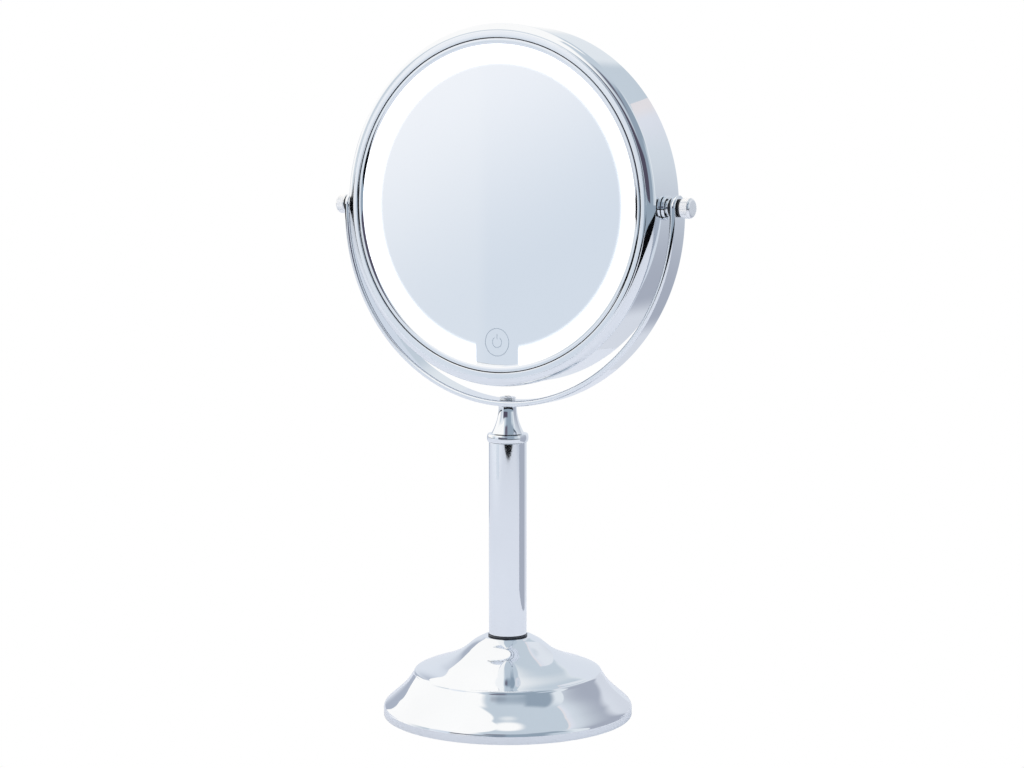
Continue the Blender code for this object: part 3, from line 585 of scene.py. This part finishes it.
def build_base_underside(m):
    pad = plain_ring("rest_pad", "base_pad", UPRIGHT, 0.35, FINE_SEGMENTS)
    place(pad, "stand", "base_pad_rubber", m["base_pad_rubber"], "base_pad")

    radius, low, high = extent("base_plate", UPRIGHT)
    edge = 0.25
    profile = [(0.0, low)] + rounded([(0.0, low, 0.0), (radius, low, edge), (radius, high, edge),
                                      (0.0, high, 0.0)])[1:]
    plate = turned("cover_plate", profile, UPRIGHT, FINE_SEGMENTS)
    holes = []
    for i in (1, 2, 3):
        centre = axis_of(f"base_screw_{i}")
        holes.append(drill(f"tool_hole_{i}", 1.9, low - 1.0, high + 1.0, centre))
    cut(plate, *holes)
    place(plate, "stand", "zinc_steel", m["zinc_steel"], "base_plate")
    for i in (1, 2, 3):
        build_pan_screw(i, m)


def axis_of(node):
    """An upright axis through the middle of a CAD node."""
    low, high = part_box(node)
    middle = (low + high) / 2.0
    return Matrix.Translation((middle.x, middle.y, 0.0))


def cross_tool(name, width, reach, low, high, matrix):
    """A cross-shaped cutter for a screw's driver recess."""
    half = width / 2.0
    outline = []
    for quarter in range(4):
        turn = Matrix.Rotation(math.pi / 2.0 * quarter, 2)
        outline.extend(tuple(turn @ Vector(p)) for p in ((reach, -half), (reach, half),
                                                         (half, half)))
    return prism(name, outline, low, high, matrix)


def build_pan_screw(i, m):
    node = f"base_screw_{i}"
    centre = axis_of(node)
    radius, low, high = extent(node, centre)
    head_high, shank = low + 1.0, 1.5
    profile = rounded([(0.0, low, 0.0), (radius - 0.5, low, 0.4), (radius, head_high - 0.3, 0.2),
                       (radius, head_high, 0.1), (shank, head_high, 0.1), (shank, high, 0.2),
                       (0.0, high, 0.0)])
    screw = turned(f"cover_screw_{i}", profile, centre)
    cut(screw, cross_tool(f"tool_recess_{i}", 0.9, 1.9, low - 1.0, low + 0.6, centre))
    place(screw, "stand", "zinc_steel", m["zinc_steel"], node)


# Column, collar and neck


def build_column(m):
    gasket = plain_ring("foot_gasket", "column_gasket", UPRIGHT, 0.2, MEDIUM_SEGMENTS)
    place(gasket, "stand", "black_nylon", m["grey_nylon"], "column_gasket")

    tube = plain_ring("column", "column_tube", UPRIGHT, 0.3, MEDIUM_SEGMENTS)
    even_shading(tube)
    place(tube, "stand", "chrome", m["chrome"], "column_tube")
    column_radius, _, column_top = extent("column_tube", UPRIGHT)
    build_collar(m, column_radius, column_top)


def build_collar(m, column_radius, column_top):
    """A rounded bead that sits on the column, with a spigot down inside it."""
    radius, low, high = extent("column_collar", UPRIGHT)
    hole = bore("column_collar", UPRIGHT)
    bead_low = column_top + 0.3
    spigot = column_radius - 1.5
    bulge = 0.5
    bead_root = radius - bulge
    profile = rounded([(hole, low, 0.2), (spigot, low, 0.4), (spigot, bead_low, 0.0),
                       (bead_root, bead_low, 0.0)])
    profile += arc((bead_root, bead_low), (bead_root, high), -bulge, 16)
    profile += [(hole, high)]
    collar = turned("collar", profile, UPRIGHT, MEDIUM_SEGMENTS)
    even_shading(collar)
    place(collar, "stand", "chrome", m["chrome"], "column_collar")


def build_neck(m):
    """A trumpet whose radius falls with the square of the height left, on a rod and under a screw."""
    foot_radius, low, high = extent("neck", UPRIGHT)
    waist_radius, steps = 5.3, 36
    flare = []
    for i in range(steps + 1):
        t = i / steps
        flare.append((waist_radius + (foot_radius - waist_radius) * (1.0 - t) ** 2,
                      low + (high - low) * t))
    rod_socket, rod_reach = 4.2, 6.0
    screw_socket, screw_reach = 2.8, 7.0
    profile = [(0.0, low + rod_reach), (rod_socket, low + rod_reach), (rod_socket, low), *flare,
               (screw_socket, high), (screw_socket, high - screw_reach), (0.0, high - screw_reach)]
    neck = turned("trumpet_neck", profile, UPRIGHT, MEDIUM_SEGMENTS)
    even_shading(neck)
    place(neck, "stand", "chrome", m["chrome"], "neck")


# Yoke


def yoke_sizes():
    """Outer radius, thickness, width and the arc centre's height, from the CAD band's box."""
    low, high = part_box("yoke")
    outer = (high.x - low.x) / 2.0 / MM
    width = (high.y - low.y) / MM
    centre_z = low.z / MM + outer
    return outer, width, centre_z


def yoke_path(outer, width, centre_z, thickness):
    """Stations (x, z, outward x, outward z, half width) along the band, ear to ear."""
    half = width / 2.0
    middle = outer - thickness / 2.0
    pivot_z = PIVOT.z / MM
    ear_steps, arc_steps = 14, 180
    ear = []
    for i in range(1, ear_steps + 1):
        angle = math.pi / 2.0 * i / ear_steps
        ear.append((-middle, pivot_z + half * math.cos(angle), -1.0, 0.0, half * math.sin(angle)))
    bend = []
    for i in range(arc_steps + 1):
        angle = math.pi + math.pi * i / arc_steps
        out_x, out_z = math.cos(angle), math.sin(angle)
        bend.append((middle * out_x, centre_z + middle * out_z, out_x, out_z, half))
    return ear + bend + [(-x, z, -ox, oz, w) for x, z, ox, oz, w in reversed(ear)]


def build_yoke(m):
    thickness, edge, edge_steps = 3.4, 1.5, 8
    outer, width, centre_z = yoke_sizes()
    half_thickness = thickness / 2.0
    bm = bmesh.new()
    sections = []
    for x, z, out_x, out_z, half in yoke_path(outer, width, centre_z, thickness):
        rounding = min(edge, half * 0.6)
        corners = stadium(2.0 * half, thickness, rounding, steps=edge_steps)
        sections.append([bm.verts.new((x + out_x * t, y, z + out_z * t)) for y, t in corners])
    count = len(sections[0])
    for a, b in zip(sections, sections[1:]):
        for k in range(count):
            bm.faces.new((a[k], a[(k + 1) % count], b[(k + 1) % count], b[k]))
    bm.faces.new(sections[0])
    bm.faces.new(sections[-1])
    band = new_object("yoke_band", finish_mesh("yoke_band", bm, UPRIGHT))
    stud_hole, foot_hole = 2.4, 2.8
    reach = outer + half_thickness
    tools = [drill(f"tool_ear_{side}", stud_hole, outer - 8.0, reach, TO_SIDE[side])
             for side in ("left", "right")]
    foot = centre_z - outer
    tools.append(drill("tool_foot", foot_hole, foot - 2.0, foot + 6.0, UPRIGHT))
    cut(band, *tools)
    even_shading(band)
    place(band, "stand", "chrome", m["chrome"], "yoke")


def build_yoke_screw(m):
    washer = plain_ring("foot_washer", "yoke_washer", UPRIGHT, 0.15)
    place(washer, "stand", "zinc_steel", m["satin_chrome"], "yoke_washer")
    head_low = extent("yoke_washer", UPRIGHT)[2] + 0.3
    radius, low, high = extent("yoke_screw", UPRIGHT)
    shank, rim = 2.5, 0.3
    dome = [(radius * math.cos(a), head_low + rim + (high - head_low - rim) * math.sin(a))
            for a in (math.radians(6.0 * i) for i in range(15))]
    profile = [(0.0, low), (shank, low), (shank, head_low), (radius - 0.2, head_low),
               (radius, head_low + 0.2), *dome, (0.0, high)]
    screw = turned("foot_screw", profile, UPRIGHT)
    cut(screw, cross_tool("tool_foot_recess", 1.1, 2.3, high - 0.8, high + 1.0, UPRIGHT))
    place(screw, "stand", "chrome", m["satin_chrome"], "yoke_screw")


# Head


def build_drum(m):
    radius, front, back = extent("drum_shell", TO_BACK)
    opening = bore("drum_shell", TO_BACK)
    wall = 1.0
    flange_front = back - 1.2
    profile = rounded([(radius, front, 0.15), (radius, back, 1.1), (opening, back, 0.4),
                       (opening, flange_front, 0.2), (radius - wall, flange_front, 0.3),
                       (radius - wall, front, 0.15)], 8)
    drum = turned("drum", profile, TO_BACK, FINE_SEGMENTS)
    tools = [drill(f"tool_drum_{side}", 2.4, radius - 4.0, radius + 4.0, TO_SIDE[side])
             for side in ("left", "right")]
    port_y = port_centre()
    tools.append(prism("tool_slot", stadium(9.8, 4.0, 1.9, (0.0, port_y)),
                       -radius - 4.0, -radius + 6.0, Matrix.Translation(PIVOT)))
    cut(drum, *tools)
    even_shading(drum)
    place(drum, "head", "chrome", m["chrome"], "drum_shell")


def port_centre():
    """The charging socket's place along Y from the tilt axis, in millimetres."""
    low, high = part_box("charge_port")
    return (low.y + high.y) / 2.0 / MM


def bezel_profile(radius, back, opening):
    """The front ring's section: a lip, two low beads with a narrow groove between them, a rolled edge and a
    spigot.
    """
    drum_front = extent("drum_shell", TO_BACK)[1]
    seat = extent("front_mirror", TO_BACK)[1] - 0.3
    flange = drum_front - 0.3
    lip = (opening + 0.7, -15.0)
    seam_inner, seam_outer = SEAM_RADIUS - SEAM_HALF_WIDTH, SEAM_RADIUS + SEAM_HALF_WIDTH
    seam_floor = SEAM_FRONT + SEAM_DEPTH
    bead_start, bead_end = (seam_outer + 0.3, -16.0), (99.1, -16.1)
    second_crease = (99.5, -15.7)
    shoulder = (radius, -12.6)
    spigot_outer = radius - 1.9
    spigot_inner = spigot_outer - 1.5
    return ([(opening, seat), lip] + arc(lip, (seam_inner, SEAM_FRONT), -0.22)
            + [(seam_inner, seam_floor), (seam_outer, seam_floor), (seam_outer, SEAM_FRONT)]
            + arc((seam_outer, SEAM_FRONT), bead_start, -0.1, 6)
            + arc(bead_start, bead_end, -0.06, 10)
            + arc(bead_end, second_crease, -0.1, 6)
            + arc(second_crease, shoulder, -0.8, 24)
            + [(radius, flange), (spigot_outer, flange), (spigot_outer, back),
               (spigot_inner, back), (spigot_inner, seat)])


def build_front(m):
    radius, _, back = extent("front_bezel", TO_BACK)
    profile = bezel_profile(radius, back, bore("front_bezel", TO_BACK))
    bezel = turned("bezel", profile, TO_BACK, FINE_SEGMENTS)
    even_shading(bezel)
    place(bezel, "head", "chrome", m["chrome"], "front_bezel")
    # A black ring down in the groove: painted shade standing for the dark crease between the beads.
    half_ring = SEAM_HALF_WIDTH - 0.05
    section = ring_section(SEAM_RADIUS - half_ring, SEAM_RADIUS + half_ring, SEAM_FRONT + 0.3,
                           SEAM_FRONT + 0.5, 0.03)
    painted_shade_ring = turned("bezel_painted_shade_ring", section, TO_BACK, FINE_SEGMENTS)
    place(painted_shade_ring, "head", "black_nylon", m["black_nylon"])

    radius, front, back = extent("front_mirror", TO_BACK)
    edge = 0.3
    glass = turned("lit_mirror", rounded([(0.0, front, 0.0), (radius, front, edge),
                                          (radius, back, edge), (0.0, back, 0.0)]), TO_BACK,
                   FINE_SEGMENTS)
    even_shading(glass)
    place(glass, "head", "mirror_glass", m["front_glass"], "front_mirror")
    build_touch_mark(m, front)


def flat_band(name, inner, outer, start, end, matrix, low, high, steps=96):
    """Part of a flat ring from start to end, in radians from its own +X."""
    full = abs(end - start - TURN) < 1e-6
    bm = bmesh.new()
    sections = []
    for i in range(steps + (0 if full else 1)):
        angle = start + (end - start) * i / steps
        x, y = math.cos(angle), math.sin(angle)
        corners = ((inner, low), (outer, low), (outer, high), (inner, high))
        sections.append([bm.verts.new((x * r, y * r, h)) for r, h in corners])
    for a, b in zip(sections, sections[1:] + (sections[:1] if full else [])):
        for k in range(4):
            bm.faces.new((a[k], a[(k + 1) % 4], b[(k + 1) % 4], b[k]))
    if not full:
        bm.faces.new(sections[0])
        bm.faces.new(sections[-1])
    return new_object(name, finish_mesh(name, bm, matrix))


def build_touch_mark(m, glass_front):
    """The touch button's ring and the generic power sign, as a thin film of ink on the glass."""
    centre = TO_BACK @ Matrix.Translation((0.0, TOUCH_DROP * MM, 0.0))
    low, high = glass_front - 0.04, glass_front - 0.01
    line, sign_radius, half_gap = 0.42, 3.3, math.radians(34.0)
    up = -math.pi / 2.0
    ring = flat_band("touch_ring", TOUCH_RADIUS - line, TOUCH_RADIUS, 0.0, TURN, centre, low, high)
    sign = flat_band("power_arc", sign_radius - line, sign_radius, up + half_gap,
                     up + TURN - half_gap, centre, low, high, 48)
    stroke = prism("power_stroke", stadium(line, 3.0, line / 2.0 - 0.01, (0.0, -3.2), 4), low,
                   high, centre)
    for piece in (ring, sign, stroke):
        place(piece, "head", "black_nylon", m["touch_ink"])


def build_rear(m):
    radius, _, back = extent("rear_mirror", TO_BACK)
    thickness, curvature, rings = 2.5, 1000.0, 24
    surface = []
    for i in range(rings + 1):
        r = radius * i / rings
        surface.append((r, back - (radius ** 2 - r ** 2) / (2.0 * curvature)))
    profile = [(r, y - thickness) for r, y in surface] + surface[::-1]
    glass = turned("magnifying_mirror", profile, TO_BACK, FINE_SEGMENTS)
    place(glass, "head", "mirror_glass", m["rear_glass"], "rear_mirror")


def build_port(m):
    """The charging socket: a stadium shell with its mouth down, and a contact tongue inside."""
    low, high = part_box("charge_port")
    centre = ((low.x + high.x) / 2.0 / MM, (low.y + high.y) / 2.0 / MM)
    bottom, top = low.z / MM, high.z / MM
    shell = prism("socket_shell", stadium(9.0, 3.2, 1.55, centre), bottom, top, UPRIGHT)
    mouth = prism("tool_mouth", stadium(8.3, 2.5, 1.2, centre), bottom - 1.0, top - 1.2, UPRIGHT)
    cut(shell, mouth)
    place(shell, "head", "zinc_steel", m["zinc_steel"], "charge_port")
    tongue = prism("socket_tongue", stadium(6.6, 0.7, 0.3, centre, 4), bottom + 0.6, top - 1.3,
                   UPRIGHT)
    place(tongue, "head", "black_nylon", m["black_nylon"])


# Pivots


def build_pivot(side, m):
    matrix = TO_SIDE[side]
    hole = bore(f"{side}_boss", matrix)
    radius, low, high = extent(f"{side}_boss", matrix)
    step = low + 1.9
    profile = rounded([(hole, low, 0.1), (radius, low, 0.2), (radius, step - 0.1, 0.6),
                       (radius - 1.6, step, 0.3), (4.6, step, 0.25), (4.6, high, 0.3),
                       (hole, high, 0.1)])
    boss = turned(f"{side}_pivot_boss", profile, matrix)
    even_shading(boss)
    place(boss, "head", "chrome", m["chrome"], f"{side}_boss")

    washers = ((f"{side}_friction_washer", f"{side}_drag_washer", "head"),
               (f"{side}_knob_washer", f"{side}_nylon_washer", f"{side}_knob"))
    for node, name, body in washers:
        washer = plain_ring(name, node, matrix, 0.2)
        place(washer, body, "black_nylon", m["black_nylon"], node)

    radius, low, high = extent(f"{side}_stud", matrix)
    pitch, depth = 0.8, 0.25
    turns = int((high - low) / pitch)
    thread = [(0.0, low)]
    for i in range(turns):
        thread += [(radius - depth, low + pitch * i), (radius, low + pitch * (i + 0.5))]
    thread += [(radius - depth, low + pitch * turns), (radius - depth, high), (0.0, high)]
    stud = turned(f"{side}_pivot_stud", thread, matrix)
    place(stud, "head", "zinc_steel", m["zinc_steel"], f"{side}_stud")
    build_knob(side, m, matrix)


def build_knob(side, m, matrix):
    radius, low, high = extent(f"{side}_knob", matrix)
    socket_end = extent(f"{side}_stud", matrix)[2] + 0.3
    hole = 2.3
    ridges, depth = 44, 0.22
    band_low, band_high = low + 0.6, high - 1.5

    def knurl(r, angle):
        wave = 0.5 - 0.5 * math.cos(ridges * angle)
        return r - depth * (1.0 - wave) if r > radius - 0.05 else r

    profile = ([(0.0, socket_end), (hole, socket_end), (hole, low), (radius - 0.5, low),
                (radius - 0.25, low + 0.25), (radius - 0.25, band_low), (radius, band_low + 0.2),
                (radius, band_high), (radius - 0.25, band_high + 0.2)]
               + arc((radius - 0.25, band_high + 0.2), (radius - 1.5, high - 0.1), -0.25, 8)
               + [(radius - 1.7, high), (0.0, high)])
    knob = turned(f"{side}_thumb_nut", profile, matrix, ridges * 6, knurl)
    even_shading(knob)
    place(knob, f"{side}_knob", "chrome", m["satin_chrome"], f"{side}_knob")


# Pieces that keep their CAD shape


def finish_cad_nodes(m):
    """The hidden pieces keep their CAD shape and get the finish of their material slot."""
    for part in frame["record"]["subparts"]:
        node = frame["nodes"][part["node"]]
        if node.hide_render:
            continue
        node.data.materials.clear()
        node.data.materials.append(m[part["material_slot"]])


# Studio


CAMERA_DISTANCE = 1.2427
CAMERA_BEARING = 31.99     # degrees round from -Y
CAMERA_HEIGHT = 0.3271
CAMERA_YAW = math.radians(31.875)
CAMERA_PITCH = math.radians(6.01)
CAMERA_LENS = 75.2

TABLE_BEARING = 4.0        # degrees; the table's near edge is square to this
TABLE_REACH = 1.1          # metres from the object to that edge
TABLE_HOLE = 0.0725        # radius of its opening under the foot
# Table colours: a middle tone, painted shade for the back right and painted light towards the white wall on the
# left.
TABLE_MIDDLE = (0.69, 0.70, 0.75)
TABLE_PAINTED_SHADE = (0.46, 0.50, 0.58)
TABLE_PAINTED_LIGHT = (0.82, 0.83, 0.87)

PURE_WHITE = (1.0, 1.0, 1.0)
WHITE = (1.07, 1.05, 1.03)
BLUE_GREY = (0.58, 0.65, 0.72)
PALE_GREY = (0.80, 0.84, 0.88)
DEEP_GREY = (0.31, 0.38, 0.46)
PINK_WHITE = (0.82, 0.78, 0.80)
NEAR_BLACK = (0.09, 0.08, 0.12)
DARK_GREY = (0.15, 0.14, 0.19)
BLACK = (0.003, 0.003, 0.004)


def around(bearing, distance, height=0.0):
    """A point seen from the object at a bearing in degrees, 0 towards the camera and + to its right."""
    angle = math.radians(CAMERA_BEARING + bearing)
    return Vector((distance * math.sin(angle), -distance * math.cos(angle), height))


def build_camera():
    data = bpy.data.cameras.new("camera")
    data.lens = CAMERA_LENS
    data.sensor_width = 36.0
    camera = new_object("camera", data)
    camera.location = around(0.0, CAMERA_DISTANCE, CAMERA_HEIGHT)
    forward = Vector((-math.sin(CAMERA_YAW) * math.cos(CAMERA_PITCH),
                      math.cos(CAMERA_YAW) * math.cos(CAMERA_PITCH), -math.sin(CAMERA_PITCH)))
    camera.rotation_mode = "QUATERNION"
    camera.rotation_quaternion = forward.to_track_quat("-Z", "Y")
    bpy.context.scene.camera = camera


def bearing_and_elevation(tree, direction):
    """Degrees round from the camera's side and degrees above level, for a shader's direction."""
    parts = add(tree, "ShaderNodeSeparateXYZ", {0: direction})
    x, y, z = parts.outputs
    bearing = maths(tree, "DEGREES", maths(tree, "ARCTAN2", x, maths(tree, "MULTIPLY", y, -1.0)))
    elevation = maths(tree, "DEGREES", maths(tree, "ARCSINE", z))
    return maths(tree, "SUBTRACT", bearing, CAMERA_BEARING), elevation


def soft_patch(tree, bearing, elevation, centre, half_size, softness):
    """1 inside a patch of sky given in degrees, falling smoothly to 0 over the softness."""
    beside = maths(tree, "WRAP", maths(tree, "SUBTRACT", bearing, centre[0]), 180.0, -180.0)
    beside = maths(tree, "ABSOLUTE", beside)
    over = maths(tree, "ABSOLUTE", maths(tree, "SUBTRACT", elevation, centre[1]))
    return maths(tree, "MULTIPLY",
                 soft_step(tree, beside, half_size[0] + softness, half_size[0]),
                 soft_step(tree, over, half_size[1] + softness, half_size[1]))


# Soft areas of the studio that the chrome reflects: centre, half size and softness in degrees
PATCHES = (
    ((-140.0, 10.0), (32.0, 80.0), 30.0, WHITE),          # white wall on the left
    ((-72.0, 40.0), (30.0, 14.0), 12.0, WHITE),           # softbox, high on the left
    ((-110.0, 75.0), (60.0, 20.0), 8.0, WHITE),           # its wide top
    ((0.0, 90.0), (180.0, 7.0), 4.0, WHITE),              # white ceiling overhead
    ((90.0, 22.0), (22.0, 20.0), 16.0, PALE_GREY),        # reflector on the right
    ((10.0, 22.0), (22.0, 26.0), 12.0, DEEP_GREY),        # dim room behind the camera
    ((-28.0, 5.0), (24.0, 9.0), 4.0, NEAR_BLACK),         # low dark stand beside the camera
    ((-14.0, 42.0), (8.0, 5.0), 7.0, DARK_GREY),          # its boom
    ((46.0, 44.0), (14.0, 10.0), 10.0, DEEP_GREY),        # gap between the panels
    ((172.0, 24.0), (12.0, 6.0), 6.0, PALE_GREY),         # window behind the object
)


def build_world():
    """The studio in the round. The camera sees plain white instead."""
    world = bpy.data.worlds.new("studio")
    world.use_nodes = True
    tree = world.node_tree
    tree.nodes.clear()
    direction = add(tree, "ShaderNodeTexCoord").outputs["Generated"]
    bearing, elevation = bearing_and_elevation(tree, direction)
    colour = blend_colours(tree, 0.0, BLUE_GREY, BLUE_GREY)
    for centre, half_size, softness, shade in PATCHES:
        factor = soft_patch(tree, bearing, elevation, centre, half_size, softness)
        colour = blend_colours(tree, factor, colour, shade)
    below = maths(tree, "LESS_THAN", elevation, 0.0)
    colour = blend_colours(tree, below, colour, BLACK)
    to_camera = add(tree, "ShaderNodeLightPath").outputs["Is Camera Ray"]
    colour = blend_colours(tree, to_camera, colour, PURE_WHITE)
    background = add(tree, "ShaderNodeBackground", {"Color": colour, "Strength": 1.0})
    add(tree, "ShaderNodeOutputWorld", {"Surface": background.outputs[0]})
    bpy.context.scene.world = world


def flat_sheet(name, corners, material, camera=False, glossy=True, diffuse=True, shadow=False):
    """A four-cornered stage sheet in metres, seen only by the named kinds of ray."""
    bm = bmesh.new()
    bm.faces.new([bm.verts.new(c) for c in corners])
    mesh = bpy.data.meshes.new(name)
    bm.to_mesh(mesh)
    bm.free()
    sheet = new_object(name, mesh)
    mesh.materials.append(material)
    sheet.visible_camera = camera
    sheet.visible_glossy = glossy
    sheet.visible_diffuse = diffuse
    sheet.visible_shadow = shadow
    return sheet


def table_sheet(name, reach, height, material, **seen_by):
    """A level sheet with a straight edge at a reach from the object, on the camera's right."""
    along = around(TABLE_BEARING, 1.0)
    across = around(TABLE_BEARING + 90.0, 1.0)
    up = Vector((0.0, 0.0, height))
    far = 6.0
    return flat_sheet(name, [up + along * a + across * b for a, b in
                             ((reach, -far), (reach, far), (-far, far), (-far, -far))],
                      material, **seen_by)


def glow_material(name, colour, strength=1.0):
    material, tree = new_material(name)
    output(tree, add(tree, "ShaderNodeEmission", {"Color": (*colour, 1.0),
                                                  "Strength": strength}).outputs[0])
    return material


def measure_along(tree, direction):
    """How far a shaded point lies along a direction from the world's origin, in metres."""
    position = add(tree, "ShaderNodeNewGeometry").outputs["Position"]
    return add(tree, "ShaderNodeVectorMath", {0: position, 1: tuple(direction)},
               operation="DOT_PRODUCT").outputs["Value"]


def measure_ray_height(tree):
    """How far the direction back to the viewer rises above level: below 0 from underneath."""
    incoming = add(tree, "ShaderNodeNewGeometry").outputs["Incoming"]
    return add(tree, "ShaderNodeSeparateXYZ", {0: incoming}).outputs[2]


def table_material():
    """A table top with painted shade towards the back right and painted light towards the wall on the left.

    It is open under the foot, so that the underside is lit when it is seen from below.
    """
    material, tree = new_material("pale_table")
    along = measure_along(tree, around(100.0, 1.0))
    # Painted shade towards the back right, then painted light towards the left.
    shade = blend_colours(tree, soft_step(tree, along, 0.6, 1.4), TABLE_MIDDLE, TABLE_PAINTED_SHADE)
    shade = blend_colours(tree, soft_step(tree, along, -0.6, -1.2), shade, TABLE_PAINTED_LIGHT)
    top = add(tree, "ShaderNodeBsdfDiffuse", {"Color": shade}).outputs[0]
    clear = add(tree, "ShaderNodeBsdfTransparent").outputs[0]
    position = add(tree, "ShaderNodeNewGeometry").outputs["Position"]
    from_axis = add(tree, "ShaderNodeVectorMath", {0: position}, operation="LENGTH")
    under_foot = maths(tree, "LESS_THAN", from_axis.outputs["Value"], TABLE_HOLE)
    output(tree, add(tree, "ShaderNodeMixShader", {0: under_foot, 1: top, 2: clear}).outputs[0])
    return material


def build_table():
    """What stands under the object: the table that the chrome sees, and a plain white floor."""
    table_sheet("table", TABLE_REACH, 0.0, table_material())
    material, tree = new_material("white_floor")
    white = add(tree, "ShaderNodeEmission", {"Color": (*PURE_WHITE, 1.0)}).outputs[0]
    clear = add(tree, "ShaderNodeBsdfTransparent").outputs[0]
    from_below = maths(tree, "LESS_THAN", measure_ray_height(tree), 0.0)
    output(tree, add(tree, "ShaderNodeMixShader", {0: from_below, 1: white, 2: clear}).outputs[0])
    table_sheet("floor", 6.0, -0.0005, material, camera=True, glossy=False, diffuse=False)


def build_cards():
    """A low panel beyond the table, three standing cards, and one below that lights the underside."""
    away = around(TABLE_BEARING, 2.0)
    across = around(TABLE_BEARING + 90.0, 1.0)
    low, high = Vector((0.0, 0.0, 0.085)), Vector((0.0, 0.0, 0.31))
    flat_sheet("far_panel", [away - across * 6.0 + low, away + across * 6.0 + low,
                             away + across * 6.0 + high, away - across * 6.0 + high],
               glow_material("far_panel", DEEP_GREY), diffuse=False)
    build_mirror_card()
    build_side_card()
    build_back_card()
    reach, drop = 0.5, -0.4
    flat_sheet("under_card", [(x * reach, y * reach, drop) for x, y in
                              ((-1, -1), (1, -1), (1, 1), (-1, 1))],
               glow_material("under_card", PALE_GREY))


def standing_card(name, bearing, distance, half_width, height, colour, tree, material):
    """An upright glowing card on the table that faces the object."""
    middle = around(bearing, distance)
    reach = around(bearing + 90.0, half_width)
    up = Vector((0.0, 0.0, height))
    output(tree, add(tree, "ShaderNodeEmission", {"Color": colour}).outputs[0])
    flat_sheet(name, [middle - reach, middle + reach, middle + reach + up, middle - reach + up],
               material, diffuse=False)


def build_mirror_card():
    """A card beside the camera, opposite the mirror, paler at its top and on the left."""
    bearing = -2.0 * CAMERA_BEARING
    across = around(bearing + 90.0, 1.0)
    material, tree = new_material("mirror_card")
    slope = across * 0.6 - Vector((0.0, 0.0, 1.1))
    shade = blend_colours(tree, soft_step(tree, measure_along(tree, slope), -0.5, -0.2),
                          (0.92, 0.935, 0.975), (0.69, 0.75, 0.83))
    fold = soft_step(tree, measure_along(tree, across), -0.004, -0.022)
    paler = blend_colours(tree, 0.12, shade, PURE_WHITE)
    shade = blend_colours(tree, fold, shade, paler)
    standing_card("mirror_card", bearing, 0.95, 0.17, 0.62, shade, tree, material)


def build_back_card():
    """A low lavender card behind the object, darker towards the wall on the left."""
    bearing = 180.0
    material, tree = new_material("back_card")
    across = measure_along(tree, around(bearing + 90.0, 1.0))
    shade = blend_colours(tree, soft_step(tree, across, 0.18, 0.34), (0.76, 0.80, 0.87),
                          (0.44, 0.48, 0.57))
    standing_card("back_card", bearing, 0.60, 0.45, 0.43, shade, tree, material)


def build_side_card():
    """A card close behind the object on the right: lit along its top, darker below and at one side."""
    bearing, height = 112.0, 0.502
    material, tree = new_material("side_card")
    across = measure_along(tree, around(bearing + 90.0, 1.0))
    up = measure_along(tree, Vector((0.0, 0.0, 1.0)))
    shaded = blend_colours(tree, soft_step(tree, up, 0.15, 0.42), (0.41, 0.44, 0.52),
                           (0.69, 0.74, 0.80))
    lit = blend_colours(tree, soft_step(tree, up, 0.05, 0.30), (0.70, 0.73, 0.80),
                        (0.80, 0.83, 0.88))
    shade = blend_colours(tree, soft_step(tree, across, 0.03, 0.09), shaded, lit)
    shade = blend_colours(tree, soft_step(tree, up, 0.39, 0.47), shade, (0.77, 0.79, 0.86))
    shade = blend_colours(tree, soft_step(tree, up, height - 0.04, height - 0.01), shade,
                          PINK_WHITE)
    standing_card("side_card", bearing, 0.30, 0.24, height, shade, tree, material)


def build_light(name, place_at, aim, size, power):
    """A soft light for the matt pieces. The chrome sees the studio's panels instead."""
    data = bpy.data.lights.new(name, "AREA")
    data.shape = "RECTANGLE"
    data.size, data.size_y = size
    data.energy = power
    light = new_object(name, data)
    light.location = place_at
    light.rotation_mode = "QUATERNION"
    light.rotation_quaternion = (Vector(aim) - Vector(place_at)).to_track_quat("-Z", "Y")
    light.visible_camera = False
    light.visible_glossy = False


def build_studio():
    build_camera()
    build_table()
    build_cards()
    build_world()
    build_light("overhead", (0.0, 0.0, 2.2), (0.0, 0.0, 0.0), (1.8, 1.8), 22.0)
    bpy.context.scene.view_settings.view_transform = "Standard"
    bpy.context.scene.cycles.use_denoising = True


def main():
    m = make_materials()
    build_base(m)
    build_base_underside(m)
    build_column(m)
    build_neck(m)
    build_yoke(m)
    build_yoke_screw(m)
    build_drum(m)
    build_front(m)
    build_rear(m)
    build_port(m)
    for side in ("left", "right"):
        build_pivot(side, m)
    finish_cad_nodes(m)
    build_studio()


main()
